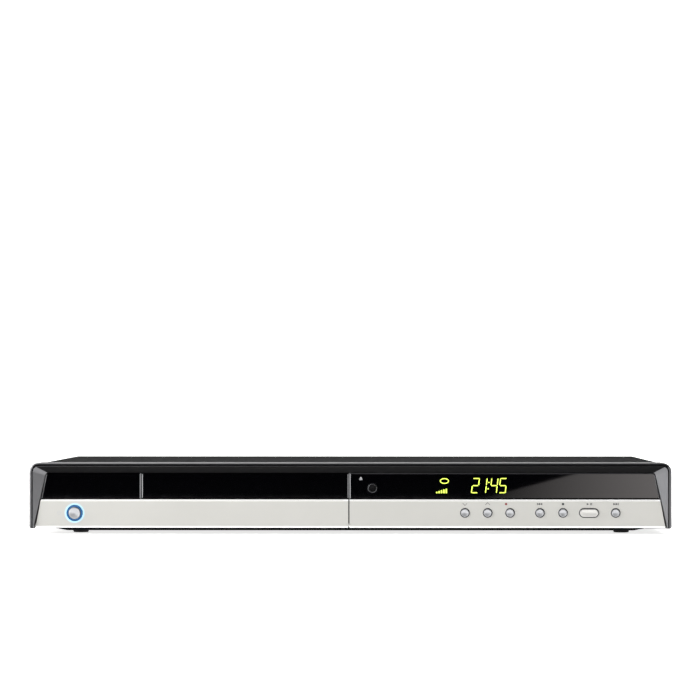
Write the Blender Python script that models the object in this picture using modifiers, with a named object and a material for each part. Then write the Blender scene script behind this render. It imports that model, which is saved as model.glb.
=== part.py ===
"""A DVD recorder, modelled piece by piece at its real size.

Metres, +Z up, +X to the viewer's right, +Y to the rear. The origin is on the table, under the middle
of the recorder. Each moving piece is parented to an empty that stands on its joint's axis.
"""

import math

import bmesh
import bpy
from mathutils import Matrix, Vector

MM = 0.001
DEGREE = math.pi / 180
WELD = 0.01 * MM
SHARP_ANGLE = 35 * DEGREE
FULL_TURN = 2 * math.pi

# Clearances, and facets of round pieces
GAP = 0.3 * MM
RUNNING_GAP = 0.5 * MM
OVERRUN = 1 * MM
SINK = 0.5 * MM
FEW_SIDES = 8
SIDES = 16
MANY_SIDES = 28
WELL_SIDES = 48
CORNER_STEPS = 4

# Whole recorder
BODY_WIDTH = 430 * MM
BODY_HEIGHT = 48 * MM
BODY_DEPTH = 262 * MM
CONNECTOR_REACH = 7 * MM
FRONT_Y = -BODY_DEPTH / 2
REAR_Y = BODY_DEPTH / 2 - CONNECTOR_REACH
HALF_WIDTH = BODY_WIDTH / 2

# Front bezel
BEZEL_DEPTH = 24 * MM
BEZEL_WALL = 2.2 * MM
BEZEL_CORNER = 6 * MM
BEZEL_EDGE = 0.8 * MM
LEG_CORNER = 1.5 * MM
BEZEL_LIFT = 4 * MM
LIP = 1.6 * MM
LIP_GROOVE_WIDTH = 0.9 * MM
LIP_GROOVE_DEPTH = 0.9 * MM
LIP_GROOVE_RIDGE = 0.3 * MM
BROW_HEIGHT = 6.6 * MM
SIDE_FRAME_BOTTOM = 3.7 * MM
SIDE_FRAME_TOP = 10.7 * MM
BASE_SETBACK = 6.4 * MM
BASE_WALL = 2.2 * MM
BASE_Y = FRONT_Y + BASE_SETBACK
BASE_BACK_Y = BASE_Y + BASE_WALL
BOARD_POST_RADIUS = 2 * MM

# Bands of the fascia
BAND_LIFT = 4.5 * MM
SILVER_HEIGHT = 18.9 * MM
BAND_SEAM = 0.3 * MM
SILVER_SETBACK = 2.6 * MM
WINDOW_SETBACK = 4 * MM
WINDOW_CORNER = 2.3 * MM
WINDOW_EDGE = 0.4 * MM
PANEL_EDGE = 1.2 * MM
TRAY_WIDTH = 128 * MM
DOOR_OVERHANG = 5.4 * MM
DOOR_WIDTH = TRAY_WIDTH + 2 * DOOR_OVERHANG
DOOR_GAP = 0.6 * MM
SILVER_TOP = BAND_LIFT + SILVER_HEIGHT
WINDOW_BOTTOM = SILVER_TOP + BAND_SEAM
WINDOW_TOP = BODY_HEIGHT - BROW_HEIGHT
WINDOW_HEIGHT = WINDOW_TOP - WINDOW_BOTTOM
PANEL_BACK_Y = BASE_Y - GAP
DRIVE_PLACE_SHARE = -0.1637209
DRIVE_X = BODY_WIDTH * DRIVE_PLACE_SHARE
SEAM_X = DRIVE_X + DOOR_WIDTH / 2 + DOOR_GAP / 2

# Drop-down flap and its hinge
FLAP_THICKNESS = 3 * MM
FLAP_GAP = 0.5 * MM
FLAP_AXIS_SETBACK = 4.4 * MM
FLAP_AXIS_Z = 6.3 * MM
FLAP_PIN_RADIUS = 0.9 * MM
FLAP_PIN_LENGTH = 1.2 * MM
FLAP_RELIEF_HEIGHT = 4 * MM

# Buttons
CAP_RADIUS = 2.55 * MM
CAP_GAP = 0.55 * MM
CAP_PROUD = 1 * MM
CAP_DISH = 0.5 * MM
FLANGE_RADIUS = 4 * MM
FLANGE_THICKNESS = 0.9 * MM
STEM_RADIUS = 1.5 * MM
BUTTON_TRAVEL = 0.8 * MM
SWITCH_SIZE = 5 * MM
SWITCH_GAP = 0.3 * MM
SWITCH_Y = BASE_BACK_Y + BUTTON_TRAVEL + SWITCH_GAP
BUTTON_ROW_Z = 14.5 * MM
BUTTON_SLOT_MARGIN = 6 * MM
FIRST_BUTTON_SHARE = 0.178837
FIRST_BUTTON_X = BODY_WIDTH * FIRST_BUTTON_SHARE
BUTTON_STEP_SHARES = (0.0, 0.1508, 0.2996, 0.498, 0.6508, 0.8234, 1.0)
BUTTON_ROW_SHARE = 0.234419
BUTTON_ROW_LENGTH = BODY_WIDTH * BUTTON_ROW_SHARE
BUTTON_NAMES = (
    "channel_down_button",
    "channel_up_button",
    "record_button",
    "skip_back_button",
    "stop_button",
    "play_button",
    "skip_forward_button",
)
PLAY_WIDTH = 12.1 * MM
EJECT_SETOFF = 15.7 * MM
EJECT_LEVEL_SHARE = 0.41243
EJECT_X = SEAM_X + EJECT_SETOFF
EJECT_Z = WINDOW_BOTTOM + WINDOW_HEIGHT * EJECT_LEVEL_SHARE
EJECT_RADIUS = 2.4 * MM
EJECT_GAP = 0.35 * MM
POWER_PLACE_SHARE = -0.429535
POWER_X = BODY_WIDTH * POWER_PLACE_SHARE
POWER_Z = 14.3 * MM
POWER_RADIUS = 3.85 * MM
POWER_FLANGE_RADIUS = 4.5 * MM
RING_INNER_RADIUS = 4.2 * MM
RING_OUTER_RADIUS = 5.3 * MM
RING_HOLE_GAP = 0.6 * MM
RING_PROUD = 0.5 * MM

# Display
TUBE_WIDTH = 70 * MM
TUBE_MARGIN = 2.05 * MM
TUBE_HEIGHT = WINDOW_HEIGHT - 2 * TUBE_MARGIN
TUBE_DEPTH = 4 * MM
TUBE_PLACE_SHARE = 0.211628
TUBE_LEVEL_SHARE = 0.525424
TUBE_X = BODY_WIDTH * TUBE_PLACE_SHARE
TUBE_Z = WINDOW_BOTTOM + WINDOW_HEIGHT * TUBE_LEVEL_SHARE
TUBE_FRAME = 1.2 * MM

# Front board and front jack board
BOARD = 1.6 * MM
FRONT_BOARD_SETOFF = 6.7 * MM
FRONT_BOARD_INSET = 12 * MM
FRONT_BOARD_DROP = 6 * MM
FRONT_BOARD_LEFT = SEAM_X + FRONT_BOARD_SETOFF
FRONT_BOARD_RIGHT = HALF_WIDTH - FRONT_BOARD_INSET
FRONT_BOARD_BOTTOM = 5.8 * MM
FRONT_BOARD_TOP = BODY_HEIGHT - FRONT_BOARD_DROP
BAY_SETOFF = 7.3 * MM
BAY_WIDTH = 127 * MM
BAY_BOTTOM = 9.6 * MM
BAY_HEIGHT = 10.6 * MM
BAY_RIGHT = SEAM_X - BAY_SETOFF
BAY_LEFT = BAY_RIGHT - BAY_WIDTH
BAY_TOP = BAY_BOTTOM + BAY_HEIGHT
BAY_WALL = 1.5 * MM
BAY_SETBACK = 14 * MM
JACK_INSET = 15 * MM
JACK_X = BAY_LEFT + JACK_INSET
JACK_PITCH = 14 * MM
JACK_COUNT = 3
JACK_Z = (BAY_BOTTOM + BAY_TOP) / 2
JACK_RADIUS = 4.2 * MM
JACK_BORE = 1.8 * MM
JACK_REACH = 6 * MM
DIGITAL_INSET = 67 * MM
DIGITAL_X = BAY_LEFT + DIGITAL_INSET
DIGITAL_WIDTH = 10 * MM
DIGITAL_HEIGHT = 6 * MM
DIGITAL_WALL = 1 * MM
JACK_BOARD_INSET = 15 * MM
JACK_BOARD_LEFT = JACK_BOARD_INSET - HALF_WIDTH
JACK_BOARD_BOTTOM = 5.8 * MM
JACK_BOARD_TOP = BAY_TOP + BAY_WALL - GAP
POWER_SWITCH_SIZE = 8 * MM

# Sheet metal case
SHEET = 0.8 * MM
CHASSIS_LIFT = 2.5 * MM
CHASSIS_FLOOR_INSET = 25 * MM
CHASSIS_STEP_INSET = 15 * MM
CHASSIS_FLOOR_HALF = HALF_WIDTH - CHASSIS_FLOOR_INSET
CHASSIS_STEP_HALF = HALF_WIDTH - CHASSIS_STEP_INSET
CHASSIS_STEP = 1.9 * MM
FLANGE_HEIGHT = 12 * MM
CHASSIS_SETBACK = 9.3 * MM
COVER_INSET = 1.6 * MM
COVER_DROP = 0.4 * MM
COVER_LIFT = 5 * MM
VENT_COUNT = 12
VENT_PITCH = 6 * MM
VENT_WIDTH = 2.4 * MM
VENT_HEIGHT = 14 * MM
VENT_LEVEL_SHARE = 0.625
VENT_Z = BODY_HEIGHT * VENT_LEVEL_SHARE
VENT_Y = 52 * MM
REAR_SHEET = 1 * MM
REAR_LIFT = 3.8 * MM
COVER_SCREW_Z = 10.6 * MM
COVER_SCREW_INSET_FRONT = 62 * MM
COVER_SCREW_INSET_REAR = 24 * MM
SCREW_HEAD_RADIUS = 3 * MM
SCREW_HEAD_HEIGHT = 1.1 * MM
SCREW_SHANK_RADIUS = 1.5 * MM
SCREW_SHANK_LENGTH = 4.5 * MM
SCREW_HOLE_GAP = 0.35 * MM
COVER_OUTER_X = HALF_WIDTH - COVER_INSET
COVER_TOP = BODY_HEIGHT - COVER_DROP
COVER_INNER_X = COVER_OUTER_X - SHEET
CHASSIS_FLOOR_TOP = CHASSIS_LIFT + SHEET

# Feet
FOOT_RADIUS = 5.3 * MM
FOOT_HEIGHT = CHASSIS_LIFT - GAP
FOOT_SIDE_INSET = 31 * MM
FOOT_X = HALF_WIDTH - FOOT_SIDE_INSET
FOOT_FRONT_INSET = 40 * MM
FOOT_REAR_INSET = 30 * MM
FOOT_RECESS_RADIUS = 2.2 * MM
FOOT_RECESS_DEPTH = 1.2 * MM
FOOT_CHAMFER = 0.5 * MM

# Standoffs that carry the boards and the drive
STANDOFF_RADIUS = 3 * MM
STANDOFF_INSET = 5 * MM
BOARD_STANDOFF_INSET = 35 * MM
BOARD_STANDOFF_X = HALF_WIDTH - BOARD_STANDOFF_INSET

# Disc drive: frame and tray
DRIVE_FLOOR_LIFT = 5 * MM
DRIVE_FLOOR = 1.8 * MM
DRIVE_WALL = 2.2 * MM
DRIVE_SIDE_ROOM = 4.8 * MM
DRIVE_WIDTH = TRAY_WIDTH + 2 * (DRIVE_SIDE_ROOM + DRIVE_WALL)
DRIVE_FRONT = 31 * MM
DRIVE_NOSE = 10 * MM
DRIVE_REAR = 195 * MM
CLAMP_ROOM = 6.6 * MM
DRIVE_TOP = COVER_TOP - SHEET - CLAMP_ROOM
NOSE_BOTTOM = BAY_TOP + BAY_WALL + RUNNING_GAP
RAIL_THICKNESS = 2 * MM
RAIL_REACH = 8.3 * MM
GUIDE_REACH = 6.5 * MM
GUIDE_THICKNESS = 1.6 * MM
GUIDE_LENGTH = 30 * MM
GUIDE_CENTRES = (30 * MM, 140 * MM)
DRIVE_FLOOR_TOP = DRIVE_FLOOR_LIFT + DRIVE_FLOOR
SPINDLE_SETBACK = 76 * MM
SPINDLE_Y = FRONT_Y + SPINDLE_SETBACK
TRAY_THICKNESS = 6 * MM
TRAY_TOP_GAP = 2 * MM
TRAY_LEVEL_SHARE = 0.494845
TRAY_BOTTOM = WINDOW_BOTTOM + (WINDOW_HEIGHT - TRAY_THICKNESS - TRAY_TOP_GAP) * TRAY_LEVEL_SHARE
TRAY_END = 184 * MM
TRAY_CORNER = 3 * MM
TRAY_SLOT = 38 * MM
DISC_RADIUS = 60 * MM
DISC_GAP = 0.8 * MM
WELL_DEPTH = 1.6 * MM
SMALL_WELL_RADIUS = 41 * MM
SMALL_WELL_DEPTH = 0.8 * MM
TRAY_SIDE_GAP = 1 * MM
TRAY_TOP = TRAY_BOTTOM + TRAY_THICKNESS

# Tray drive: rack, gears, belt and motor
GEAR_MODULE = 1 * MM
TRAY_GEAR_TEETH = 20
LOW_MODULE = 0.8 * MM
LOW_GEAR_TEETH = 32
PINION_TEETH = 12
BACKLASH = 0.3 * MM
TIP_SHARE = 0.85
ROOT_SHARE = 1.2
FLANK_SHARE = 0.36
GEAR_SETBACK = 44 * MM
GEAR_INSET = 26 * MM
GEAR_OFFSET = TRAY_WIDTH / 2 - GEAR_INSET
RACK_BODY = 5 * MM
RACK_HEIGHT = 4.3 * MM
RACK_LEAD = 6 * MM
AXLE_RADIUS = 1.5 * MM
BORE_GAP = 0.3 * MM
AXLE_BOSS_RADIUS = 3 * MM
GEAR_HUB_RADIUS = 4 * MM
UPPER_GEAR_HEIGHT = 3.8 * MM
GEAR_DROP = 15 * MM
LOWER_GEAR_Z = TRAY_BOTTOM - GEAR_DROP
LOWER_GEAR_HEIGHT = 4 * MM
PULLEY_GAP = 1.1 * MM
PULLEY_Z = LOWER_GEAR_Z + LOWER_GEAR_HEIGHT + PULLEY_GAP
PULLEY_HEIGHT = 3.4 * MM
PULLEY_FLANGE = 0.6 * MM
PULLEY_RADIUS = 12 * MM
MOTOR_PULLEY_RADIUS = 4 * MM
GROOVE_DEPTH = 1.5 * MM
BELT_THICKNESS = 1 * MM
BELT_GAP = 0.3 * MM
PULLEY_DISTANCE = 26.4 * MM
MOTOR_RADIUS = 12 * MM
MOTOR_TOP_GAP = 0.6 * MM
MOTOR_TOP = PULLEY_Z - MOTOR_TOP_GAP
MOTOR_SHAFT_RADIUS = 1 * MM
TRAY_GEAR_X = DRIVE_X - GEAR_OFFSET
GEAR_Y = FRONT_Y + GEAR_SETBACK
GEAR_DISTANCE = (LOW_GEAR_TEETH + PINION_TEETH) * LOW_MODULE / 2
BELT_GEAR_X = TRAY_GEAR_X + GEAR_DISTANCE
MOTOR_X = BELT_GEAR_X + PULLEY_DISTANCE
RACK_PITCH_X = TRAY_GEAR_X - TRAY_GEAR_TEETH * GEAR_MODULE / 2

# Cam slider that lowers the traverse
CAM_SETBACK = 58.6 * MM
CAM_THICKNESS = 3 * MM
CAM_LEFT = 16 * MM
CAM_RIGHT = 36 * MM
CAM_RIM = 2.5 * MM
CAM_TRAVEL = 18 * MM
CAM_PIN_OFFSET = 12.5 * MM
CAM_PIN_Z = 17.5 * MM
CAM_LUG_HALF = 2.5 * MM
CAM_LUG_DEPTH = 2.5 * MM
TRAVERSE_TILT = 4 * DEGREE
CAM_PIN_RADIUS = 1.2 * MM
CAM_SLOT_GAP = 0.45 * MM
CAM_GUIDE = 1.2 * MM
CAM_GUIDE_HEIGHT = 2 * MM
CAM_Y = FRONT_Y + CAM_SETBACK

# Traverse, spindle, pickup
TRAVERSE_FRONT = 64 * MM
TRAVERSE_REAR = 156 * MM
TRAVERSE_HALF = 42.5 * MM
TRAVERSE_Z = 12.5 * MM
TRAVERSE_PLATE = 2 * MM
TRAVERSE_GAP = 0.7 * MM
PIVOT_SETBACK = 152 * MM
PIVOT_RADIUS = 1.5 * MM
PIVOT_REACH = 5.5 * MM
LUG_THICKNESS = 3 * MM
LUG_DEPTH = 8 * MM
LUG_TOP = 17.5 * MM
LUG_OFFSET = 1.6 * MM
WINDOW_HALF = 20 * MM
WINDOW_FRONT = 92 * MM
WINDOW_REAR = 142 * MM
SPINDLE_MOTOR_RADIUS = 12 * MM
SPINDLE_MOTOR_DROP = 5.8 * MM
SPINDLE_SHAFT = 3.5 * MM
TURNTABLE_RADIUS = 15 * MM
TURNTABLE_DROP = 1 * MM
TURNTABLE_TOP = TRAY_TOP - TURNTABLE_DROP
SPINDLE_MOTOR_TOP = TURNTABLE_TOP - SPINDLE_MOTOR_DROP
TURNTABLE_THICKNESS = 3 * MM
TURNTABLE_HUB_RADIUS = 6 * MM
CONE_RADIUS = 7.2 * MM
CONE_TOP_RADIUS = 5.6 * MM
CONE_HEIGHT = 2.3 * MM
ROD_RADIUS = 1.5 * MM
ROD_X = 26 * MM
ROD_Z = 19.5 * MM
ROD_FRONT = 86 * MM
ROD_REAR = 148 * MM
ROD_BLOCK = 3 * MM
ROD_BLOCK_HALF = 2.4 * MM
ROD_BLOCK_TOP = 22.5 * MM
SLED_FRONT = 90 * MM
SLED_LENGTH = 18 * MM
SLED_MOTOR_GAP = 1.3 * MM
SLED_HALF = 17 * MM
SLED_BOTTOM = 15.2 * MM
LENS_DROP = 0.5 * MM
LENS_HEIGHT = 2 * MM
LENS_TOP = TRAY_BOTTOM - LENS_DROP
SLED_TOP = LENS_TOP - LENS_HEIGHT
SLED_EAR_BOTTOM = 16 * MM
SLED_EAR_TOP = 23 * MM
SLED_EAR_WALL = 3.5 * MM
LENS_RADIUS = 3 * MM
SCREW_X = 34 * MM
LEAD_SCREW_RADIUS = 1.5 * MM
FEED_MOTOR_RADIUS = 4.7 * MM
FEED_MOTOR_LENGTH = 12 * MM
PIVOT_Y = FRONT_Y + PIVOT_SETBACK
PIVOT_Z = TRAVERSE_Z + TRAVERSE_PLATE / 2

# Clamp
BRIDGE_FRONT = 62 * MM
BRIDGE_REAR = 90 * MM
BRIDGE_SHEET = 1 * MM
CLAMPER_FLANGE_RADIUS = 13 * MM
CLAMPER_FLANGE = 1.5 * MM
CLAMPER_RADIUS = 9 * MM
CLAMPER_HOLE_GAP = 0.6 * MM
CLAMPER_RECESS_RADIUS = 8 * MM
CLAMPER_RECESS = 3.5 * MM
CLAMPER_LIFT = 1.8 * MM
CLAMPER_BOTTOM = TURNTABLE_TOP + CLAMPER_LIFT

# Boards at the back
MAIN_BOARD_SETOFF = 8.7 * MM
MAIN_BOARD_INSET = 10 * MM
MAIN_BOARD_FRONT = 100 * MM
TAIL_MARGIN = 17 * MM
TAIL_GAP = 7 * MM
BOARD_REAR_INSET = 14 * MM
MAIN_BOARD_LEFT = SEAM_X + MAIN_BOARD_SETOFF
MAIN_BOARD_RIGHT = HALF_WIDTH - MAIN_BOARD_INSET
MAIN_BOARD_TAIL_FRONT = DRIVE_REAR + TAIL_GAP
BOARD_REAR = BODY_DEPTH - BOARD_REAR_INSET
BOARD_Z = 8 * MM
CHIP_SIZE = 24 * MM
CHIP_HEIGHT = 2.4 * MM
CHIP_SHARES = (0.4467, 0.337838)
CHIP_X = MAIN_BOARD_LEFT + (MAIN_BOARD_RIGHT - MAIN_BOARD_LEFT) * CHIP_SHARES[0]
CHIP_Y = MAIN_BOARD_FRONT + (BOARD_REAR - MAIN_BOARD_FRONT) * CHIP_SHARES[1]
POWER_BOARD_INSET = 9 * MM
POWER_BOARD_GAP = 6.6 * MM
POWER_BOARD_FRONT = 110 * MM
POWER_BOARD_LEFT = POWER_BOARD_INSET - HALF_WIDTH
POWER_BOARD_RIGHT = DRIVE_X - DRIVE_WIDTH / 2 - POWER_BOARD_GAP
POWER_BOARD_WIDTH = POWER_BOARD_RIGHT - POWER_BOARD_LEFT
POWER_BOARD_DEPTH = BOARD_REAR - POWER_BOARD_FRONT
POWER_STANDOFF_SHARE = 0.62
TRANSFORMER_SHARES = (0.413793, 0.398551)
TRANSFORMER_X = POWER_BOARD_LEFT + POWER_BOARD_WIDTH * TRANSFORMER_SHARES[0]
TRANSFORMER_Y = POWER_BOARD_FRONT + POWER_BOARD_DEPTH * TRANSFORMER_SHARES[1]
TRANSFORMER_WIDTH = 30 * MM
TRANSFORMER_DEPTH = 34 * MM
TRANSFORMER_HEIGHT = 24 * MM
CORE_OVERHANG = 3 * MM
CORE_HEIGHT = 8 * MM
CAPACITOR_SHARES = (0.793103, 0.688406)
CAPACITOR_X = POWER_BOARD_LEFT + POWER_BOARD_WIDTH * CAPACITOR_SHARES[0]
CAPACITOR_Y = POWER_BOARD_FRONT + POWER_BOARD_DEPTH * CAPACITOR_SHARES[1]
CAPACITOR_RADIUS = 9 * MM
CAPACITOR_HEIGHT = 26 * MM
CAPACITOR_EDGE = 1 * MM
BOARD_TOP = BOARD_Z + BOARD

# Ribbon cable from the drive to the main board
RIBBON_OFFSET = 27.4 * MM
RIBBON_X = DRIVE_X + RIBBON_OFFSET
MAIN_BOARD_TAIL_LEFT = RIBBON_X - TAIL_MARGIN
RIBBON_WIDTH = 14 * MM
RIBBON_THICKNESS = 0.5 * MM
RIBBON_RISE = 6 * MM
RIBBON_SOCKET_DEPTH = 4 * MM
RIBBON_SOCKET_HEIGHT = 5 * MM
RIBBON_SOCKET_MARGIN = 2 * MM
RIBBON_INSET = 5 * MM
RIBBON_SHARE = 0.217391
RIBBON_FROM = DRIVE_REAR - RIBBON_INSET
RIBBON_TO = MAIN_BOARD_TAIL_FRONT + (BOARD_REAR - MAIN_BOARD_TAIL_FRONT) * RIBBON_SHARE
RIBBON_STEPS = 8

# Rear panel and its connectors
AV_SOCKET_WIDTH = 47 * MM
AV_SOCKET_HEIGHT = 13 * MM
AV_SOCKET_SHARES = (0.102326, 0.251163)
AV_SOCKET_LEFT_X = BODY_WIDTH * AV_SOCKET_SHARES[0]
AV_SOCKET_RIGHT_X = BODY_WIDTH * AV_SOCKET_SHARES[1]
AV_SOCKET_DEPTH = 18 * MM
AV_SOCKET_PROUD = 2 * MM
AV_SOCKET_WALL = 1.6 * MM
AV_SOCKET_CAVITY = 10 * MM
AV_BLOCK_SHARE = -0.065116
AV_BLOCK_X = BODY_WIDTH * AV_BLOCK_SHARE
AV_BLOCK_WIDTH = 56 * MM
AV_BLOCK_HEIGHT = 17 * MM
AV_BLOCK_DEPTH = 14 * MM
AV_BARREL_PITCH = 13 * MM
AV_BARREL_COUNT = 4
AV_BARREL_RADIUS = 4.2 * MM
AV_BARREL_BORE = 1.8 * MM
TUNER_SHARE = 0.406977
TUNER_X = BODY_WIDTH * TUNER_SHARE
TUNER_WIDTH = 50 * MM
TUNER_HEIGHT = 18 * MM
TUNER_DEPTH = 38 * MM
TUNER_BARREL_PITCH = 24 * MM
TUNER_BARREL_RADIUS = 4.8 * MM
TUNER_BORE = 2 * MM
INLET_SHARE = -0.423256
INLET_X = BODY_WIDTH * INLET_SHARE
INLET_WIDTH = 27 * MM
INLET_HEIGHT = 14 * MM
INLET_DEPTH = 20 * MM
INLET_PROUD = 2 * MM
INLET_WALL = 2.2 * MM
INLET_CAVITY = 13 * MM
PIN_RADIUS = 1.2 * MM
PIN_SPREAD = 8 * MM
HOLE_GAP = 0.5 * MM

# Fan
FAN_LIFT = 1.3 * MM
FAN_TOP_ROOM = 2.2 * MM
FAN_SIZE = COVER_TOP - SHEET - FAN_TOP_ROOM - CHASSIS_FLOOR_TOP - FAN_LIFT
FAN_DEPTH = 10 * MM
FAN_SHARE = -0.255814
FAN_X = BODY_WIDTH * FAN_SHARE
FAN_Z = CHASSIS_FLOOR_TOP + FAN_LIFT + FAN_SIZE / 2
FAN_RIM = 1.2 * MM
FAN_BORE = FAN_SIZE / 2 - FAN_RIM
FAN_TIP_GAP = 1 * MM
FAN_HUB_RADIUS = 8.5 * MM
FAN_HUB_DEPTH = 6.4 * MM
FAN_BLADES = 7
BLADE_THICKNESS = 1.2 * MM
BLADE_CHORD = 6.4 * MM
BLADE_PITCH = 38 * DEGREE
FAN_STRUT = 3 * MM
FAN_PLATE = 1.6 * MM
GRILLE_SLOTS = 5
GRILLE_BAR = 3 * MM

PARTS = "dvd_recorder"
HELPERS = "cutters_and_joiners"


def hex_colour(code):
    """The linear colour of an sRGB hex value."""
    values = [int(code[i : i + 2], 16) / 255 for i in (1, 3, 5)]
    return [((v + 0.055) / 1.055) ** 2.4 if v > 0.04045 else v / 12.92 for v in values] + [1.0]


MATERIALS = {
    "black_bezel": ("#2a2a2c", 0.45, 0.0),
    "silver_panel": ("#d9d8d4", 0.35, 0.3),
    "smoked_window": ("#0c0c0e", 0.1, 0.0),
    "spun_metal": ("#c9ccd0", 0.25, 1.0),
    "blue_light": ("#3f9fe0", 0.4, 0.0),
    "painted_steel": ("#3a3a3c", 0.5, 0.0),
    "zinc_steel": ("#9a9da0", 0.4, 1.0),
    "rubber": ("#1c1c1c", 0.9, 0.0),
    "circuit_board": ("#2f6b3a", 0.5, 0.0),
    "display_glass": ("#7f9a4a", 0.2, 0.0),
    "white_plastic": ("#e6e4dc", 0.5, 0.0),
    "black_plastic": ("#161616", 0.5, 0.0),
    "copper_winding": ("#8a5a34", 0.45, 0.4),
}


def prepare_scene():
    """An empty scene with one collection for the pieces and one for the shapes that cut or join."""
    for old in list(bpy.data.objects):
        bpy.data.objects.remove(old)
    for name in (PARTS, HELPERS):
        bpy.context.scene.collection.children.link(bpy.data.collections.new(name))
    for name, (colour, roughness, metallic) in MATERIALS.items():
        material = bpy.data.materials.new(name)
        material.use_nodes = True
        shader = material.node_tree.nodes["Principled BSDF"]
        shader.inputs["Base Color"].default_value = hex_colour(colour)
        shader.inputs["Roughness"].default_value = roughness
        shader.inputs["Metallic"].default_value = metallic


def link(name, data):
    """A new object of this data, among the helpers until finish() takes it."""
    shape = bpy.data.objects.new(name, data)
    bpy.data.collections[HELPERS].objects.link(shape)
    shape.hide_render = True
    shape.display_type = "WIRE"
    return shape


def finish(shape, name, material, joint=None):
    """Makes this shape a piece of the recorder, with its material, carried by its joint's empty."""
    shape.name = name
    shape.data.name = name
    bpy.data.collections[HELPERS].objects.unlink(shape)
    bpy.data.collections[PARTS].objects.link(shape)
    shape.hide_render = False
    shape.display_type = "TEXTURED"
    shape.data.materials.clear()
    shape.data.materials.append(bpy.data.materials[material])
    shape.data.shade_smooth()
    shape.data.set_sharp_from_angle(angle=SHARP_ANGLE)
    if joint:
        shape.parent = joint
        shape.matrix_parent_inverse = Matrix.Translation(-joint.location)
    return shape


def joint_at(name, x, y, z):
    """An empty on a joint's axis."""
    empty = bpy.data.objects.new(name, None)
    empty.location = (x, y, z)
    bpy.data.collections[PARTS].objects.link(empty)
    return empty


def boxes(name, spans):
    """Boxes that don't meet, as one mesh. Each span is (x, x, y, y, z, z)."""
    mesh = bpy.data.meshes.new(name)
    shape = bmesh.new()
    for x0, x1, y0, y1, z0, z1 in spans:
        made = bmesh.ops.create_cube(shape, size=1)["verts"]
        bmesh.ops.scale(shape, vec=(x1 - x0, y1 - y0, z1 - z0), verts=made)
        bmesh.ops.translate(shape, vec=((x0 + x1) / 2, (y0 + y1) / 2, (z0 + z1) / 2), verts=made)
    shape.to_mesh(mesh)
    shape.free()
    return link(name, mesh)


def box(name, x0, x1, y0, y1, z0, z1):
    """One box."""
    return boxes(name, [(x0, x1, y0, y1, z0, z1)])


def axis_turn(axis):
    """The rotation that lays +Z along the named axis."""
    if axis == "X":
        return Matrix.Rotation(math.pi / 2, 4, "Y")
    if axis == "Y":
        return Matrix.Rotation(-math.pi / 2, 4, "X")
    return Matrix.Identity(4)


def cylinders(name, radius, starts, length, axis="Z", sides=SIDES, end_radius=None):
    """Equal cylinders or cones that don't meet, as one mesh, each from its start along the axis."""
    mesh = bpy.data.meshes.new(name)
    shape = bmesh.new()
    top = radius if end_radius is None else end_radius
    for start in starts:
        move = Matrix.Translation(start) @ axis_turn(axis) @ Matrix.Translation((0, 0, length / 2))
        bmesh.ops.create_cone(
            shape,
            cap_ends=True,
            segments=sides,
            radius1=radius,
            radius2=top,
            depth=length,
            matrix=move,
        )
    shape.to_mesh(mesh)
    shape.free()
    return link(name, mesh)


def cylinder(name, radius, start, length, axis="Z", sides=SIDES, end_radius=None):
    """One cylinder or cone."""
    return cylinders(name, radius, [start], length, axis, sides, end_radius)


def turned(name, profile, at, axis="Z", sides=SIDES):
    """A profile of (radius, height) points, top to bottom down its outer side, turned about the axis.

    A profile that doesn't reach the axis is closed on itself, as a ring."""
    mesh = bpy.data.meshes.new(name)
    points = [(radius, 0, height) for radius, height in profile]
    edges = [(i, i + 1) for i in range(len(points) - 1)]
    if profile[0][0] > 0:
        edges.append((len(points) - 1, 0))
    mesh.from_pydata(points, edges, [])
    shape = link(name, mesh)
    shape.matrix_world = Matrix.Translation(at) @ axis_turn(axis)
    screw = shape.modifiers.new("turn", "SCREW")
    screw.axis = "Z"
    screw.angle = FULL_TURN
    screw.steps = sides
    screw.render_steps = sides
    screw.use_merge_vertices = True
    screw.merge_threshold = WELD
    screw.use_smooth_shade = True
    return shape


PLANES = {
    "XY": Matrix.Identity(4),
    "XZ": Matrix.Rotation(math.pi / 2, 4, "X"),
    "YZ": Matrix(((0, 0, 1, 0), (1, 0, 0, 0), (0, 1, 0, 0), (0, 0, 0, 1))),
}


def plate(name, outlines, thickness, at, plane="XY"):
    """A flat outline with any holes in it, made a plate whose middle is at this place along its normal."""
    curve = bpy.data.curves.new(name, "CURVE")
    curve.dimensions = "2D"
    curve.fill_mode = "BOTH"
    curve.extrude = thickness / 2
    for outline in outlines:
        spline = curve.splines.new("POLY")
        spline.points.add(len(outline) - 1)
        for point, (u, v) in zip(spline.points, outline):
            point.co = (u, v, 0, 1)
        spline.use_cyclic_u = True
    drawn = link(name + "_outline", curve)
    drawn.matrix_world = Matrix.Translation(at) @ PLANES[plane]
    bpy.context.view_layer.update()
    graph = bpy.context.evaluated_depsgraph_get()
    mesh = bpy.data.meshes.new_from_object(drawn.evaluated_get(graph))
    whole = bmesh.new()
    whole.from_mesh(mesh)
    bmesh.ops.remove_doubles(whole, verts=whole.verts, dist=WELD)
    whole.to_mesh(mesh)
    whole.free()
    made = link(name, mesh)
    made.matrix_world = drawn.matrix_world
    bpy.data.objects.remove(drawn)
    return made


def boolean(shape, operation, others):
    for other in others:
        modifier = shape.modifiers.new(other.name, "BOOLEAN")
        modifier.operation = operation
        modifier.object = other
    return shape


def cut(shape, *others):
    """Takes each of the others out of the shape."""
    return boolean(shape, "DIFFERENCE", others)


def join(shape, *others):
    """Makes the others one with the shape."""
    return boolean(shape, "UNION", others)


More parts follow.
